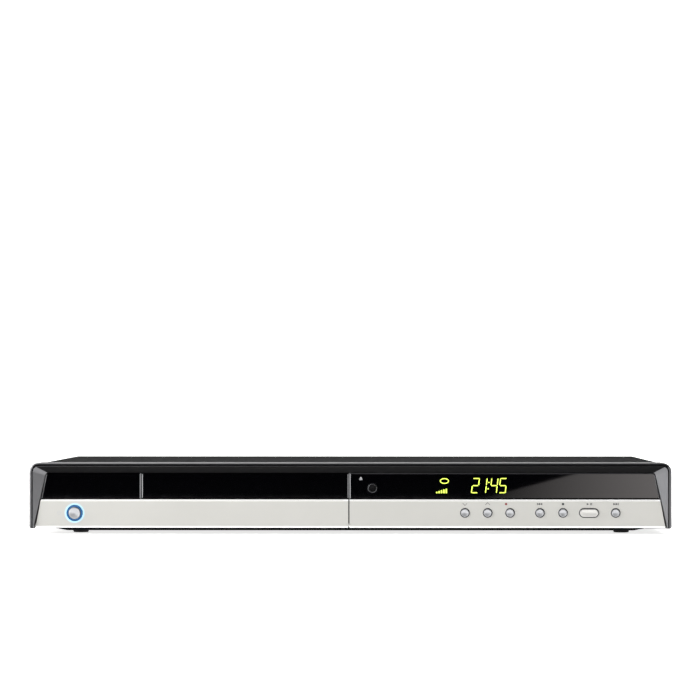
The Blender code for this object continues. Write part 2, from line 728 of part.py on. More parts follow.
def rounded(corners):
    """An outline from (u, v, radius) corners, with an arc at each corner that has a radius."""
    outline = []
    for i, (u, v, radius) in enumerate(corners):
        here = Vector((u, v))
        if radius <= 0:
            outline.append((u, v))
            continue
        before = (Vector(corners[i - 1][:2]) - here).normalized()
        after = (Vector(corners[(i + 1) % len(corners)][:2]) - here).normalized()
        half = before.angle(after) / 2
        centre = here + (before + after).normalized() * (radius / math.sin(half))
        start = here + before * (radius / math.tan(half)) - centre
        turn = start.angle_signed(here + after * (radius / math.tan(half)) - centre)
        for step in range(CORNER_STEPS + 1):
            arm = Matrix.Rotation(-turn * step / CORNER_STEPS, 2) @ start
            outline.append((centre.x + arm.x, centre.y + arm.y))
    return outline


def arc(u, v, radius, start, end, steps):
    """Points along an arc about (u, v)."""
    angles = [start + (end - start) * i / steps for i in range(steps + 1)]
    return [(u + radius * math.cos(a), v + radius * math.sin(a)) for a in angles]


def half_width(z):
    """Half the width of the fascia's opening at height z: its slanted sides lean inwards."""
    share = (z - BAND_LIFT) / (WINDOW_TOP - BAND_LIFT)
    frame = SIDE_FRAME_BOTTOM + (SIDE_FRAME_TOP - SIDE_FRAME_BOTTOM) * share
    return HALF_WIDTH - frame


def loft(name, sections):
    """A solid skinned over (outline, y) sections, each an (x, z) outline with equally many corners.

    Its sides twist where an outline leans, so they are split into triangles, which are flat."""
    shape = bmesh.new()
    rings = [[shape.verts.new((x, y, z)) for x, z in outline] for outline, y in sections]
    shape.faces.new(rings[0])
    shape.faces.new(list(reversed(rings[-1])))
    for near, far in zip(rings, rings[1:]):
        for i in range(len(near)):
            j = (i + 1) % len(near)
            shape.faces.new((near[i], far[i], far[j], near[j]))
    bmesh.ops.triangulate(shape, faces=shape.faces)
    bmesh.ops.recalc_face_normals(shape, faces=shape.faces)
    mesh = bpy.data.meshes.new(name)
    shape.to_mesh(mesh)
    shape.free()
    return link(name, mesh)


def button_places():
    """Name and centre of each button of the row on the control panel."""
    places = [FIRST_BUTTON_X + BUTTON_ROW_LENGTH * share for share in BUTTON_STEP_SHARES]
    return list(zip(BUTTON_NAMES, places))


def front_board_y():
    """Front face of the front board."""
    return BASE_BACK_Y + GAP + TUBE_DEPTH + GAP


def mouth_span(x, z, width, height, margin):
    """Span of a rectangular hole in an upright wall, without its depth."""
    return (x - width / 2 - margin, x + width / 2 + margin, z - height / 2 - margin, z + height / 2 + margin)


def bezel_outline(inset, low, leg_corner=0):
    """The bezel's outline, this far inside its outer faces, open at the bottom down to a height."""
    x = HALF_WIDTH - inset
    top = BODY_HEIGHT - inset
    corner = BEZEL_CORNER - inset
    return rounded([(-x, low, leg_corner), (x, low, leg_corner), (x, top, corner), (-x, top, corner)])


def build_bezel():
    middle_y = FRONT_Y + BEZEL_DEPTH / 2
    outer = bezel_outline(0, BEZEL_LIFT, LEG_CORNER)
    bezel = plate("front_bezel", [outer], BEZEL_DEPTH, (0, middle_y, 0), "XZ")
    bevel_front_edges(bezel.data, BEZEL_EDGE, False)
    low = BEZEL_LIFT - OVERRUN
    room_depth = BEZEL_DEPTH - BASE_SETBACK - BASE_WALL + OVERRUN
    room_y = BASE_BACK_Y + room_depth / 2
    cut(bezel, plate("bezel_rear_room", [bezel_outline(BEZEL_WALL, low)], room_depth, (0, room_y, 0), "XZ"))
    opening = rounded(
        [
            (-half_width(low), low, 0),
            (half_width(low), low, 0),
            (half_width(WINDOW_TOP), WINDOW_TOP, WINDOW_CORNER),
            (-half_width(WINDOW_TOP), WINDOW_TOP, WINDOW_CORNER),
        ]
    )
    sections = [
        (bezel_outline(LIP, low), FRONT_Y - SINK),
        (bezel_outline(LIP, low), FRONT_Y + LIP_GROOVE_DEPTH),
        (bezel_outline(LIP + LIP_GROOVE_WIDTH, low), FRONT_Y + LIP_GROOVE_RIDGE),
        (opening, FRONT_Y + WINDOW_SETBACK),
        (opening, BASE_Y),
    ]
    return cut(bezel, loft("fascia_recess", sections))


def cut_bezel_openings(bezel):
    """The mouths in the bezel's base wall, and the jack bay behind the flap."""
    wall = (BASE_Y - OVERRUN, BASE_BACK_Y + OVERRUN)
    tray_half = TRAY_WIDTH / 2 + TRAY_SIDE_GAP
    row = [x for _, x in button_places()]
    rack_x = RACK_PITCH_X - RACK_BODY
    mouths = [
        (DRIVE_X - tray_half, DRIVE_X + tray_half, *wall, TRAY_BOTTOM - GAP, TRAY_TOP + TRAY_TOP_GAP),
        (
            TUBE_X - TUBE_WIDTH / 2,
            TUBE_X + TUBE_WIDTH / 2,
            *wall,
            TUBE_Z - TUBE_HEIGHT / 2,
            TUBE_Z + TUBE_HEIGHT / 2,
        ),
        (
            row[0] - BUTTON_SLOT_MARGIN,
            row[-1] + BUTTON_SLOT_MARGIN,
            *wall,
            BUTTON_ROW_Z - FLANGE_RADIUS - RUNNING_GAP,
            BUTTON_ROW_Z + FLANGE_RADIUS + RUNNING_GAP,
        ),
    ]
    notch = box(
        "rack_notch",
        rack_x - TRAY_SIDE_GAP,
        RACK_PITCH_X + GEAR_MODULE + TRAY_SIDE_GAP,
        *wall,
        TRAY_BOTTOM - RACK_HEIGHT - GAP,
        TRAY_BOTTOM,
    )
    relief = box(
        "flap_relief",
        -half_width(BEZEL_LIFT) - GAP,
        SEAM_X,
        *wall,
        BEZEL_LIFT - OVERRUN,
        BEZEL_LIFT + FLAP_RELIEF_HEIGHT,
    )
    eject = cylinder(
        "eject_mouth",
        EJECT_RADIUS + EJECT_GAP + FLANGE_THICKNESS + RUNNING_GAP,
        (EJECT_X, wall[0], EJECT_Z),
        wall[1] - wall[0],
        "Y",
    )
    power = cylinder(
        "power_mouth",
        POWER_FLANGE_RADIUS + GAP,
        (POWER_X, wall[0], POWER_Z),
        wall[1] - wall[0],
        "Y",
    )
    bay_outer = box(
        "jack_bay_walls",
        BAY_LEFT - BAY_WALL,
        BAY_RIGHT + BAY_WALL,
        BASE_Y + SINK,
        FRONT_Y + BAY_SETBACK + BAY_WALL,
        BAY_BOTTOM - BAY_WALL,
        BAY_TOP + BAY_WALL,
    )
    bay_inner = box(
        "jack_bay_room",
        BAY_LEFT,
        BAY_RIGHT,
        BASE_Y - OVERRUN,
        FRONT_Y + BAY_SETBACK,
        BAY_BOTTOM,
        BAY_TOP,
    )
    bay_back = FRONT_Y + BAY_SETBACK - OVERRUN
    jack_holes = cylinders(
        "jack_holes",
        JACK_RADIUS + HOLE_GAP,
        [(x, bay_back, JACK_Z) for x in jack_places()],
        BAY_WALL + 2 * OVERRUN,
        "Y",
    )
    x0, x1, z0, z1 = mouth_span(DIGITAL_X, JACK_Z, DIGITAL_WIDTH, DIGITAL_HEIGHT, HOLE_GAP)
    digital_hole = box("digital_hole", x0, x1, bay_back, bay_back + BAY_WALL + 2 * OVERRUN, z0, z1)
    pin_z = FLAP_AXIS_Z
    pin_y = FRONT_Y + FLAP_AXIS_SETBACK
    pin_hole = cylinder(
        "flap_pin_hole",
        FLAP_PIN_RADIUS + BORE_GAP,
        (-half_width(pin_z) - FLAP_PIN_LENGTH, pin_y, pin_z),
        FLAP_PIN_LENGTH + OVERRUN,
        "X",
        FEW_SIDES,
    )
    posts = cylinders(
        "front_board_posts",
        BOARD_POST_RADIUS,
        [
            (x, BASE_BACK_Y - SINK, z)
            for x, z in (
                (FRONT_BOARD_LEFT + STANDOFF_INSET, FRONT_BOARD_BOTTOM + STANDOFF_INSET),
                (FRONT_BOARD_RIGHT - STANDOFF_INSET, FRONT_BOARD_BOTTOM + STANDOFF_INSET),
                (FRONT_BOARD_RIGHT - STANDOFF_INSET, FRONT_BOARD_TOP - STANDOFF_INSET),
            )
        ],
        front_board_y() - GAP - BASE_BACK_Y + SINK,
        "Y",
        FEW_SIDES,
    )
    cut(bezel, boxes("base_wall_mouths", mouths), notch, relief)
    join(bezel, bay_outer)
    cut(bezel, bay_inner, jack_holes, digital_hole, eject, power, pin_hole)
    join(bezel, posts)
    return finish(bezel, "front_bezel", "black_bezel")


def jack_places():
    return [JACK_X + JACK_PITCH * i for i in range(JACK_COUNT)]


def band(name, ends, levels, depths, edge, corner=0, level_only=True):
    """A flat piece of the fascia between two ends, two heights and two depths.

    An end that is None follows the opening's slanted side, where the corner is the radius of its top
    corner. The edge is the rounding of its front face, at the top and bottom or all the way round."""
    left, right = ends
    bottom, top = levels
    front_y, back_y = depths
    low_left = -half_width(bottom) + GAP if left is None else left
    top_left = -half_width(top) + GAP if left is None else left
    low_right = half_width(bottom) - GAP if right is None else right
    top_right = half_width(top) - GAP if right is None else right
    corners = [
        (low_left, bottom, 0),
        (low_right, bottom, 0),
        (top_right, top, corner if right is None else 0),
        (top_left, top, corner if left is None else 0),
    ]
    piece = plate(name, [rounded(corners)], back_y - front_y, (0, (front_y + back_y) / 2, 0), "XZ")
    if edge > 0:
        bevel_front_edges(piece.data, edge, level_only)
    return piece


def bevel_front_edges(mesh, width, level_only):
    """Rounds the edges of the face that looks to the front: all of them, or its top and bottom ones."""
    shape = bmesh.new()
    shape.from_mesh(mesh)
    front = max(v.co.z for v in shape.verts)
    edges = [e for e in shape.edges if all(abs(v.co.z - front) < SINK for v in e.verts)]
    edges = [e for e in edges if len(e.link_faces) > 1 and e.calc_face_angle(0) > FULL_TURN / 8]
    if level_only:
        edges = [e for e in edges if abs(e.verts[0].co.y - e.verts[1].co.y) < SINK]
    bmesh.ops.bevel(shape, geom=edges, offset=width, segments=2, profile=0.5, affect="EDGES")
    shape.to_mesh(mesh)
    shape.free()


def build_fascia(flap_joint, tray_joint):
    window_y = FRONT_Y + WINDOW_SETBACK
    silver_y = FRONT_Y + SILVER_SETBACK
    door_left = DRIVE_X - DOOR_WIDTH / 2
    door_right = DRIVE_X + DOOR_WIDTH / 2
    corner = WINDOW_CORNER - GAP
    top = WINDOW_TOP - GAP
    left_end = door_left - DOOR_GAP
    right_end = door_right + DOOR_GAP
    levels = (WINDOW_BOTTOM, top)
    depths = (window_y, PANEL_BACK_Y)
    left = band("left_window", (None, left_end), levels, depths, WINDOW_EDGE, corner, False)
    finish(left, "left_window", "smoked_window")
    right = band("display_window", (right_end, None), levels, depths, WINDOW_EDGE, corner, False)
    hole = cylinder(
        "eject_hole",
        EJECT_RADIUS + EJECT_GAP,
        (EJECT_X, window_y - OVERRUN, EJECT_Z),
        PANEL_BACK_Y - window_y + 2 * OVERRUN,
        "Y",
    )
    finish(cut(right, hole), "display_window", "smoked_window")
    door_levels = (WINDOW_BOTTOM + GAP, WINDOW_TOP - DOOR_GAP)
    door = band("tray_door", (door_left, door_right), door_levels, depths, WINDOW_EDGE, 0, False)
    finish(door, "tray_door", "smoked_window", tray_joint)
    build_control_panel(silver_y)
    build_flap(silver_y, flap_joint)


def build_control_panel(silver_y):
    levels = (BAND_LIFT, SILVER_TOP)
    panel = band("control_panel", (SEAM_X + GAP, None), levels, (silver_y, PANEL_BACK_Y), PANEL_EDGE)
    depth = PANEL_BACK_Y - silver_y + 2 * OVERRUN
    round_ones = [
        (x, silver_y - OVERRUN, BUTTON_ROW_Z) for name, x in button_places() if name != "play_button"
    ]
    holes = cylinders("button_holes", CAP_RADIUS + CAP_GAP, round_ones, depth, "Y")
    play_x = dict(button_places())["play_button"]
    play_hole = plate(
        "play_hole",
        [oval(play_x, BUTTON_ROW_Z, PLAY_WIDTH + 2 * CAP_GAP, CAP_RADIUS + CAP_GAP)],
        depth,
        (0, (silver_y + PANEL_BACK_Y) / 2, 0),
        "XZ",
    )
    pin_hole = cylinder(
        "panel_pin_hole",
        FLAP_PIN_RADIUS + BORE_GAP,
        (SEAM_X - OVERRUN, FRONT_Y + FLAP_AXIS_SETBACK, FLAP_AXIS_Z),
        OVERRUN + GAP + FLAP_PIN_LENGTH + GAP,
        "X",
        FEW_SIDES,
    )
    finish(cut(panel, holes, play_hole, pin_hole), "control_panel", "silver_panel")


def oval(u, v, width, radius):
    """An outline with round ends, as wide as given."""
    reach = width / 2 - radius
    right = arc(u + reach, v, radius, -math.pi / 2, math.pi / 2, SIDES // 2)
    left = arc(u - reach, v, radius, math.pi / 2, math.pi * 3 / 2, SIDES // 2)
    return right + left


def build_flap(silver_y, joint):
    right = SEAM_X - FLAP_GAP
    axis_y = FRONT_Y + FLAP_AXIS_SETBACK
    depths = (silver_y, silver_y + FLAP_THICKNESS)
    flap = band("front_flap", (None, right), (BAND_LIFT, SILVER_TOP), depths, PANEL_EDGE)
    hole = cylinder(
        "ring_hole",
        RING_OUTER_RADIUS + RING_HOLE_GAP,
        (POWER_X, silver_y - OVERRUN, POWER_Z),
        FLAP_THICKNESS + 2 * OVERRUN,
        "Y",
        MANY_SIDES,
    )
    left_pin = cylinder(
        "left_pin",
        FLAP_PIN_RADIUS,
        (-half_width(FLAP_AXIS_Z) - FLAP_PIN_LENGTH + GAP, axis_y, FLAP_AXIS_Z),
        FLAP_PIN_LENGTH + OVERRUN,
        "X",
        FEW_SIDES,
    )
    right_pin = cylinder(
        "right_pin",
        FLAP_PIN_RADIUS,
        (right - OVERRUN, axis_y, FLAP_AXIS_Z),
        FLAP_PIN_LENGTH + OVERRUN,
        "X",
        FEW_SIDES,
    )
    finish(join(cut(flap, hole), left_pin, right_pin), "front_flap", "silver_panel", joint)


def build_button(name, x, z, radius, front_y, joint, flange_radius=FLANGE_RADIUS):
    """A spun cap with a dished face, a flange that keeps it in its panel, and a stem to its switch."""
    end = BASE_BACK_Y
    flange_y = BASE_Y
    depth = end - front_y
    profile = [
        (0, 0),
        (STEM_RADIUS, 0),
        (STEM_RADIUS, -(end - flange_y - FLANGE_THICKNESS)),
        (flange_radius, -(end - flange_y - FLANGE_THICKNESS)),
        (flange_radius, -(end - flange_y)),
        (radius, -(end - flange_y)),
        (radius, -depth),
        (0, -depth + CAP_DISH),
    ]
    cap = turned(name, profile, (x, end, z), "Y")
    finish(cap, name, "spun_metal", joint)


def build_play_button(x, joint):
    """The oval one, with the same flange and stem."""
    front_y = FRONT_Y + SILVER_SETBACK - CAP_PROUD
    back_y = BASE_Y + FLANGE_THICKNESS
    cap = plate(
        "play_cap",
        [oval(x, BUTTON_ROW_Z, PLAY_WIDTH, CAP_RADIUS)],
        back_y - front_y,
        (0, (back_y + front_y) / 2, 0),
        "XZ",
    )
    flange = plate(
        "play_flange",
        [oval(x, BUTTON_ROW_Z, PLAY_WIDTH + 2 * (FLANGE_RADIUS - CAP_RADIUS), FLANGE_RADIUS)],
        FLANGE_THICKNESS,
        (0, BASE_Y + FLANGE_THICKNESS / 2, 0),
        "XZ",
    )
    stem = cylinder("play_stem", STEM_RADIUS, (x, BASE_Y, BUTTON_ROW_Z), BASE_BACK_Y - BASE_Y, "Y")
    finish(join(cap, flange, stem), "play_button", "spun_metal", joint)


def build_buttons():
    silver_front = FRONT_Y + SILVER_SETBACK - CAP_PROUD
    for name, x in button_places():
        joint = joint_at(name.replace("_button", "_press"), x, silver_front, BUTTON_ROW_Z)
        if name == "play_button":
            build_play_button(x, joint)
        else:
            build_button(name, x, BUTTON_ROW_Z, CAP_RADIUS, silver_front, joint)
    window_front = FRONT_Y + WINDOW_SETBACK - CAP_PROUD
    eject_joint = joint_at("eject_press", EJECT_X, window_front, EJECT_Z)
    eject_flange = EJECT_RADIUS + EJECT_GAP + FLANGE_THICKNESS
    build_button("eject_button", EJECT_X, EJECT_Z, EJECT_RADIUS, window_front, eject_joint, eject_flange)
    power_joint = joint_at("power_press", POWER_X, silver_front, POWER_Z)
    flange = POWER_FLANGE_RADIUS
    build_button("power_button", POWER_X, POWER_Z, POWER_RADIUS, silver_front, power_joint, flange)
    ring_profile = [
        (RING_OUTER_RADIUS, 0),
        (RING_OUTER_RADIUS, -(PANEL_BACK_Y - FRONT_Y - SILVER_SETBACK + RING_PROUD)),
        (RING_INNER_RADIUS, -(PANEL_BACK_Y - FRONT_Y - SILVER_SETBACK + RING_PROUD)),
        (RING_INNER_RADIUS, 0),
    ]
    ring = turned("power_light_ring", ring_profile, (POWER_X, PANEL_BACK_Y, POWER_Z), "Y", MANY_SIDES)
    finish(ring, "power_light_ring", "blue_light")


def jack_board_y():
    """Front face of the front jack board."""
    return FRONT_Y + BAY_SETBACK + BAY_WALL + GAP


def build_front_boards():
    board_y = front_board_y()
    board = box(
        "front_board",
        FRONT_BOARD_LEFT,
        FRONT_BOARD_RIGHT,
        board_y,
        board_y + BOARD,
        FRONT_BOARD_BOTTOM,
        FRONT_BOARD_TOP,
    )
    places = [(x, BUTTON_ROW_Z) for _, x in button_places()] + [(EJECT_X, EJECT_Z)]
    reach = SWITCH_SIZE / 2
    switches = boxes(
        "switches",
        [
            (x - reach, x + reach, SWITCH_Y, board_y + SINK, z - reach, z + reach)
            for x, z in places
        ],
    )
    finish(join(board, switches), "front_board", "circuit_board")
    tube_back = board_y - GAP
    tube = box(
        "display_tube",
        TUBE_X - TUBE_WIDTH / 2 - TUBE_FRAME,
        TUBE_X + TUBE_WIDTH / 2 + TUBE_FRAME,
        tube_back - TUBE_DEPTH,
        tube_back,
        TUBE_Z - TUBE_HEIGHT / 2 - TUBE_FRAME,
        TUBE_Z + TUBE_HEIGHT / 2 + TUBE_FRAME,
    )
    finish(tube, "display_tube", "display_glass")
    back_y = jack_board_y()
    jack_board = box(
        "front_jack_board",
        JACK_BOARD_LEFT,
        BAY_RIGHT,
        back_y,
        back_y + BOARD,
        JACK_BOARD_BOTTOM,
        JACK_BOARD_TOP,
    )
    mouth_y = FRONT_Y + BAY_SETBACK - JACK_REACH
    barrels = cylinders(
        "jack_barrels",
        JACK_RADIUS,
        [(x, mouth_y, JACK_Z) for x in jack_places()],
        back_y + SINK - mouth_y,
        "Y",
    )
    bores = cylinders(
        "jack_bores",
        JACK_BORE,
        [(x, mouth_y - OVERRUN, JACK_Z) for x in jack_places()],
        JACK_REACH + OVERRUN,
        "Y",
        FEW_SIDES,
    )
    x0, x1, z0, z1 = mouth_span(DIGITAL_X, JACK_Z, DIGITAL_WIDTH, DIGITAL_HEIGHT, 0)
    socket = box("digital_socket", x0, x1, mouth_y + JACK_REACH / 2, back_y + SINK, z0, z1)
    mouth = box(
        "digital_mouth",
        x0 + DIGITAL_WALL,
        x1 - DIGITAL_WALL,
        mouth_y,
        mouth_y + JACK_REACH,
        z0 + DIGITAL_WALL,
        z1 - DIGITAL_WALL,
    )
    half = POWER_SWITCH_SIZE / 2
    switch = box(
        "power_switch",
        POWER_X - half,
        POWER_X + half,
        SWITCH_Y,
        back_y + SINK,
        POWER_Z - half,
        POWER_Z + half,
    )
    join(jack_board, barrels, socket, switch)
    finish(cut(jack_board, bores, mouth), "front_jack_board", "circuit_board")


def slot_outline(start, end, radius):
    """An outline with round ends about two points, the first of them to the right of the second."""
    lean = math.atan2(start[1] - end[1], start[0] - end[0])
    near = arc(*start, radius, lean - math.pi / 2, lean + math.pi / 2, SIDES // 2)
    far = arc(*end, radius, lean + math.pi / 2, lean + math.pi * 3 / 2, SIDES // 2)
    return near + far


def gear_outline(x, y, teeth, module, first_tooth):
    """A gear's outline about (x, y), with straight flanks and one tooth centred at the given angle."""
    pitch_radius = teeth * module / 2
    outline = []
    for i in range(teeth):
        middle = first_tooth + FULL_TURN * i / teeth
        for share, side in ((-ROOT_SHARE, -1), (TIP_SHARE, -1), (TIP_SHARE, 1), (-ROOT_SHARE, 1)):
            radius = pitch_radius + share * module
            angle = middle + side * half_tooth(share, module) / radius
            outline.append((x + radius * math.cos(angle), y + radius * math.sin(angle)))
    return outline


def half_tooth(share, module):
    """Half a tooth's thickness, at this share of the module outside the pitch line."""
    return math.pi * module / 4 - BACKLASH / 2 - share * module * FLANK_SHARE


def rack_outline():
    """The rack under the tray's left edge, with a gap where the tray gear's tooth points at it."""
    pitch = math.pi * GEAR_MODULE
    first = GEAR_Y - RACK_LEAD
    last = FRONT_Y + TRAY_END - SINK
    count = int((last - first) / pitch)
    outline = [(RACK_PITCH_X - RACK_BODY, last), (RACK_PITCH_X - RACK_BODY, first)]
    outline.append((RACK_PITCH_X - ROOT_SHARE * GEAR_MODULE, first))
    before = math.floor(RACK_LEAD / pitch)
    for i in range(count):
        middle = GEAR_Y + (i - before + 1 / 2) * pitch
        for share, side in ((-ROOT_SHARE, -1), (TIP_SHARE, -1), (TIP_SHARE, 1), (-ROOT_SHARE, 1)):
            reach = half_tooth(share, GEAR_MODULE)
            outline.append((RACK_PITCH_X + share * GEAR_MODULE, middle + side * reach))
    outline.append((RACK_PITCH_X - ROOT_SHARE * GEAR_MODULE, last))
    return outline


def chassis_outline():
    """The bent floor sheet seen from the front: flat floor, sloped sides, low flanges."""
    flange_x = COVER_INNER_X - GAP
    step = CHASSIS_LIFT + CHASSIS_STEP
    top = step + FLANGE_HEIGHT
    under = [
        (flange_x, top),
        (flange_x, step),
        (CHASSIS_STEP_HALF, step),
        (CHASSIS_FLOOR_HALF, CHASSIS_LIFT),
    ]
    over = [
        (CHASSIS_FLOOR_HALF, CHASSIS_LIFT + SHEET),
        (CHASSIS_STEP_HALF, step + SHEET),
        (flange_x - SHEET, step + SHEET),
        (flange_x - SHEET, top),
    ]
    return under + mirrored(under) + mirrored(over) + over


def mirrored(points):
    """The points' mirror images about the recorder's middle, in the opposite order."""
    return [(-x, z) for x, z in reversed(points)]


def cover_screw_places():
    """Where each cover screw goes in: its side, -1 for the left, and its y."""
    rows = (FRONT_Y + COVER_SCREW_INSET_FRONT, REAR_Y - COVER_SCREW_INSET_REAR)
    return [(side, y) for side in (-1, 1) for y in rows]


def screw_holes(name):
    """A cutter through the case's side at each cover screw."""
    depth = 2 * SCREW_SHANK_LENGTH
    starts = [(side * COVER_OUTER_X - depth / 2, y, COVER_SCREW_Z) for side, y in cover_screw_places()]
    return cylinders(name, SCREW_SHANK_RADIUS + SCREW_HOLE_GAP, starts, depth, "X", FEW_SIDES)


def build_chassis():
    front = FRONT_Y + CHASSIS_SETBACK
    back = REAR_Y - REAR_SHEET - GAP
    chassis = plate("bottom_chassis", [chassis_outline()], back - front, (0, (front + back) / 2, 0), "XZ")
    cut(chassis, screw_holes("chassis_screw_holes"))
    drive_half = DRIVE_WIDTH / 2 - STANDOFF_INSET
    low = [
        (DRIVE_X + side * drive_half, y, CHASSIS_FLOOR_TOP - SINK)
        for side in (-1, 1)
        for y in (FRONT_Y + DRIVE_FRONT + STANDOFF_INSET, FRONT_Y + DRIVE_REAR - STANDOFF_INSET)
    ]
    board_back = FRONT_Y + BOARD_REAR - STANDOFF_INSET
    power_standoff_x = POWER_BOARD_LEFT + POWER_BOARD_WIDTH * POWER_STANDOFF_SHARE
    high = [
        (x, y, CHASSIS_FLOOR_TOP - SINK)
        for x, y in (
            (MAIN_BOARD_LEFT + STANDOFF_INSET, FRONT_Y + MAIN_BOARD_FRONT + STANDOFF_INSET),
            (BOARD_STANDOFF_X, FRONT_Y + MAIN_BOARD_FRONT + STANDOFF_INSET),
            (MAIN_BOARD_TAIL_LEFT + STANDOFF_INSET, board_back),
            (BOARD_STANDOFF_X, board_back),
            (POWER_BOARD_RIGHT - STANDOFF_INSET, FRONT_Y + POWER_BOARD_FRONT + STANDOFF_INSET),
            (power_standoff_x, FRONT_Y + POWER_BOARD_FRONT + STANDOFF_INSET),
            (POWER_BOARD_RIGHT - STANDOFF_INSET, board_back),
            (power_standoff_x, board_back),
        )
    ]
    low_height = DRIVE_FLOOR_LIFT - GAP - CHASSIS_FLOOR_TOP + SINK
    high_height = BOARD_Z - GAP - CHASSIS_FLOOR_TOP + SINK
    join(
        chassis,
        cylinders("drive_standoffs", STANDOFF_RADIUS, low, low_height, "Z", FEW_SIDES),
        cylinders("board_standoffs", STANDOFF_RADIUS, high, high_height, "Z", FEW_SIDES),
    )
    finish(chassis, "bottom_chassis", "zinc_steel")


def build_cover():
    front = FRONT_Y + BEZEL_DEPTH + GAP
    outer = hoop(COVER_OUTER_X, COVER_TOP, COVER_LIFT, BEZEL_CORNER)
    inner = hoop(COVER_INNER_X, COVER_TOP - SHEET, COVER_LIFT, BEZEL_CORNER - SHEET)
    outline = outer[1:] + outer[:1] + inner[:1] + list(reversed(inner[1:]))
    cover = plate("top_cover", [outline], REAR_Y - front, (0, (REAR_Y + front) / 2, 0), "XZ")
    reach = HALF_WIDTH + OVERRUN
    slots = [
        (
            -reach,
            reach,
            FRONT_Y + VENT_Y + VENT_PITCH * i,
            FRONT_Y + VENT_Y + VENT_PITCH * i + VENT_WIDTH,
            VENT_Z - VENT_HEIGHT / 2,
            VENT_Z + VENT_HEIGHT / 2,
        )
        for i in range(VENT_COUNT)
    ]
    cut(cover, boxes("vent_slots", slots), screw_holes("cover_screw_holes"))
    finish(cover, "top_cover", "painted_steel")
    depth = SCREW_SHANK_LENGTH
    head = SCREW_HEAD_RADIUS
    for side, y in cover_screw_places():
        profile = [
            (0, SCREW_HEAD_HEIGHT),
            (head - SCREW_HEAD_HEIGHT / 2, SCREW_HEAD_HEIGHT),
            (head, SCREW_HEAD_HEIGHT / 2),
            (head, 0),
            (SCREW_SHANK_RADIUS, 0),
            (SCREW_SHANK_RADIUS, -depth),
            (0, -depth),
        ]
        name = f"cover_screw_{'right' if side > 0 else 'left'}_{'front' if y < 0 else 'rear'}"
        screw = turned(name, profile, (0, 0, 0), "X", FEW_SIDES)
        seat = side * (COVER_OUTER_X + GAP / 2)
        turn = Matrix.Rotation(0 if side > 0 else math.pi, 4, "Z")
        screw.matrix_world = Matrix.Translation((seat, y, COVER_SCREW_Z)) @ turn @ screw.matrix_world
        finish(screw, name, "zinc_steel")


def hoop(half, top, bottom, radius):
    """A rectangle round the recorder's middle with its two top corners rounded."""
    return rounded([(-half, bottom, 0), (half, bottom, 0), (half, top, radius), (-half, top, radius)])


def build_feet():
    profile = [
        (0, FOOT_HEIGHT),
        (FOOT_RADIUS, FOOT_HEIGHT),
        (FOOT_RADIUS, FOOT_CHAMFER),
        (FOOT_RADIUS - FOOT_CHAMFER, 0),
        (FOOT_RECESS_RADIUS, 0),
        (FOOT_RECESS_RADIUS, FOOT_RECESS_DEPTH),
        (0, FOOT_RECESS_DEPTH),
    ]
    rows = (("front", FRONT_Y + FOOT_FRONT_INSET), ("rear", REAR_Y - FOOT_REAR_INSET))
    for row, y in rows:
        for side, x in (("left", -FOOT_X), ("right", FOOT_X)):
            name = f"foot_{row}_{side}"
            finish(turned(name, profile, (x, y, 0)), name, "rubber")


def build_rear_panel():
    middle_y = REAR_Y - REAR_SHEET / 2
    outline = hoop(COVER_INNER_X - GAP, COVER_TOP - SHEET - GAP, REAR_LIFT, BEZEL_CORNER - SHEET)
    panel = plate("rear_panel", [outline], REAR_SHEET, (0, middle_y, 0), "XZ")
    y0 = REAR_Y - REAR_SHEET - OVERRUN
    y1 = REAR_Y + OVERRUN
    mouths = []
    for x, z, width, height in (
        (AV_SOCKET_LEFT_X, socket_z(AV_SOCKET_HEIGHT), AV_SOCKET_WIDTH, AV_SOCKET_HEIGHT),
        (AV_SOCKET_RIGHT_X, socket_z(AV_SOCKET_HEIGHT), AV_SOCKET_WIDTH, AV_SOCKET_HEIGHT),
        (INLET_X, socket_z(INLET_HEIGHT), INLET_WIDTH, INLET_HEIGHT),
    ):
        x0, x1, z0, z1 = mouth_span(x, z, width, height, HOLE_GAP)
        mouths.append((x0, x1, y0, y1, z0, z1))
    for i in range(GRILLE_SLOTS):
        pitch = 2 * FAN_BORE / GRILLE_SLOTS
        z = FAN_Z - FAN_BORE + pitch * (i + 1 / 2)
        reach = math.sqrt(FAN_BORE**2 - (z - FAN_Z) ** 2) - GRILLE_BAR / 2
        half = (pitch - GRILLE_BAR) / 2
        mouths.append((FAN_X - reach, FAN_X + reach, y0, y1, z - half, z + half))
    av_holes = cylinders(
        "av_holes",
        AV_BARREL_RADIUS + HOLE_GAP,
        [(x, y0, socket_z(AV_BLOCK_HEIGHT)) for x in av_barrel_places()],
        y1 - y0,
        "Y",
    )
    aerial_holes = cylinders(
        "aerial_holes",
        TUNER_BARREL_RADIUS + HOLE_GAP,
        [(x, y0, socket_z(TUNER_HEIGHT)) for x in aerial_places()],
        y1 - y0,
        "Y",
    )
    finish(cut(panel, boxes("rear_mouths", mouths), av_holes, aerial_holes), "rear_panel", "zinc_steel")


def socket_z(height):
    """Middle of a connector of this height that stands on a board."""
    return BOARD_TOP + GAP + height / 2


def av_barrel_places():
    first = AV_BLOCK_X - AV_BARREL_PITCH * (AV_BARREL_COUNT - 1) / 2
    return [first + AV_BARREL_PITCH * i for i in range(AV_BARREL_COUNT)]


def aerial_places():
    return [TUNER_X - TUNER_BARREL_PITCH / 2, TUNER_X + TUNER_BARREL_PITCH / 2]


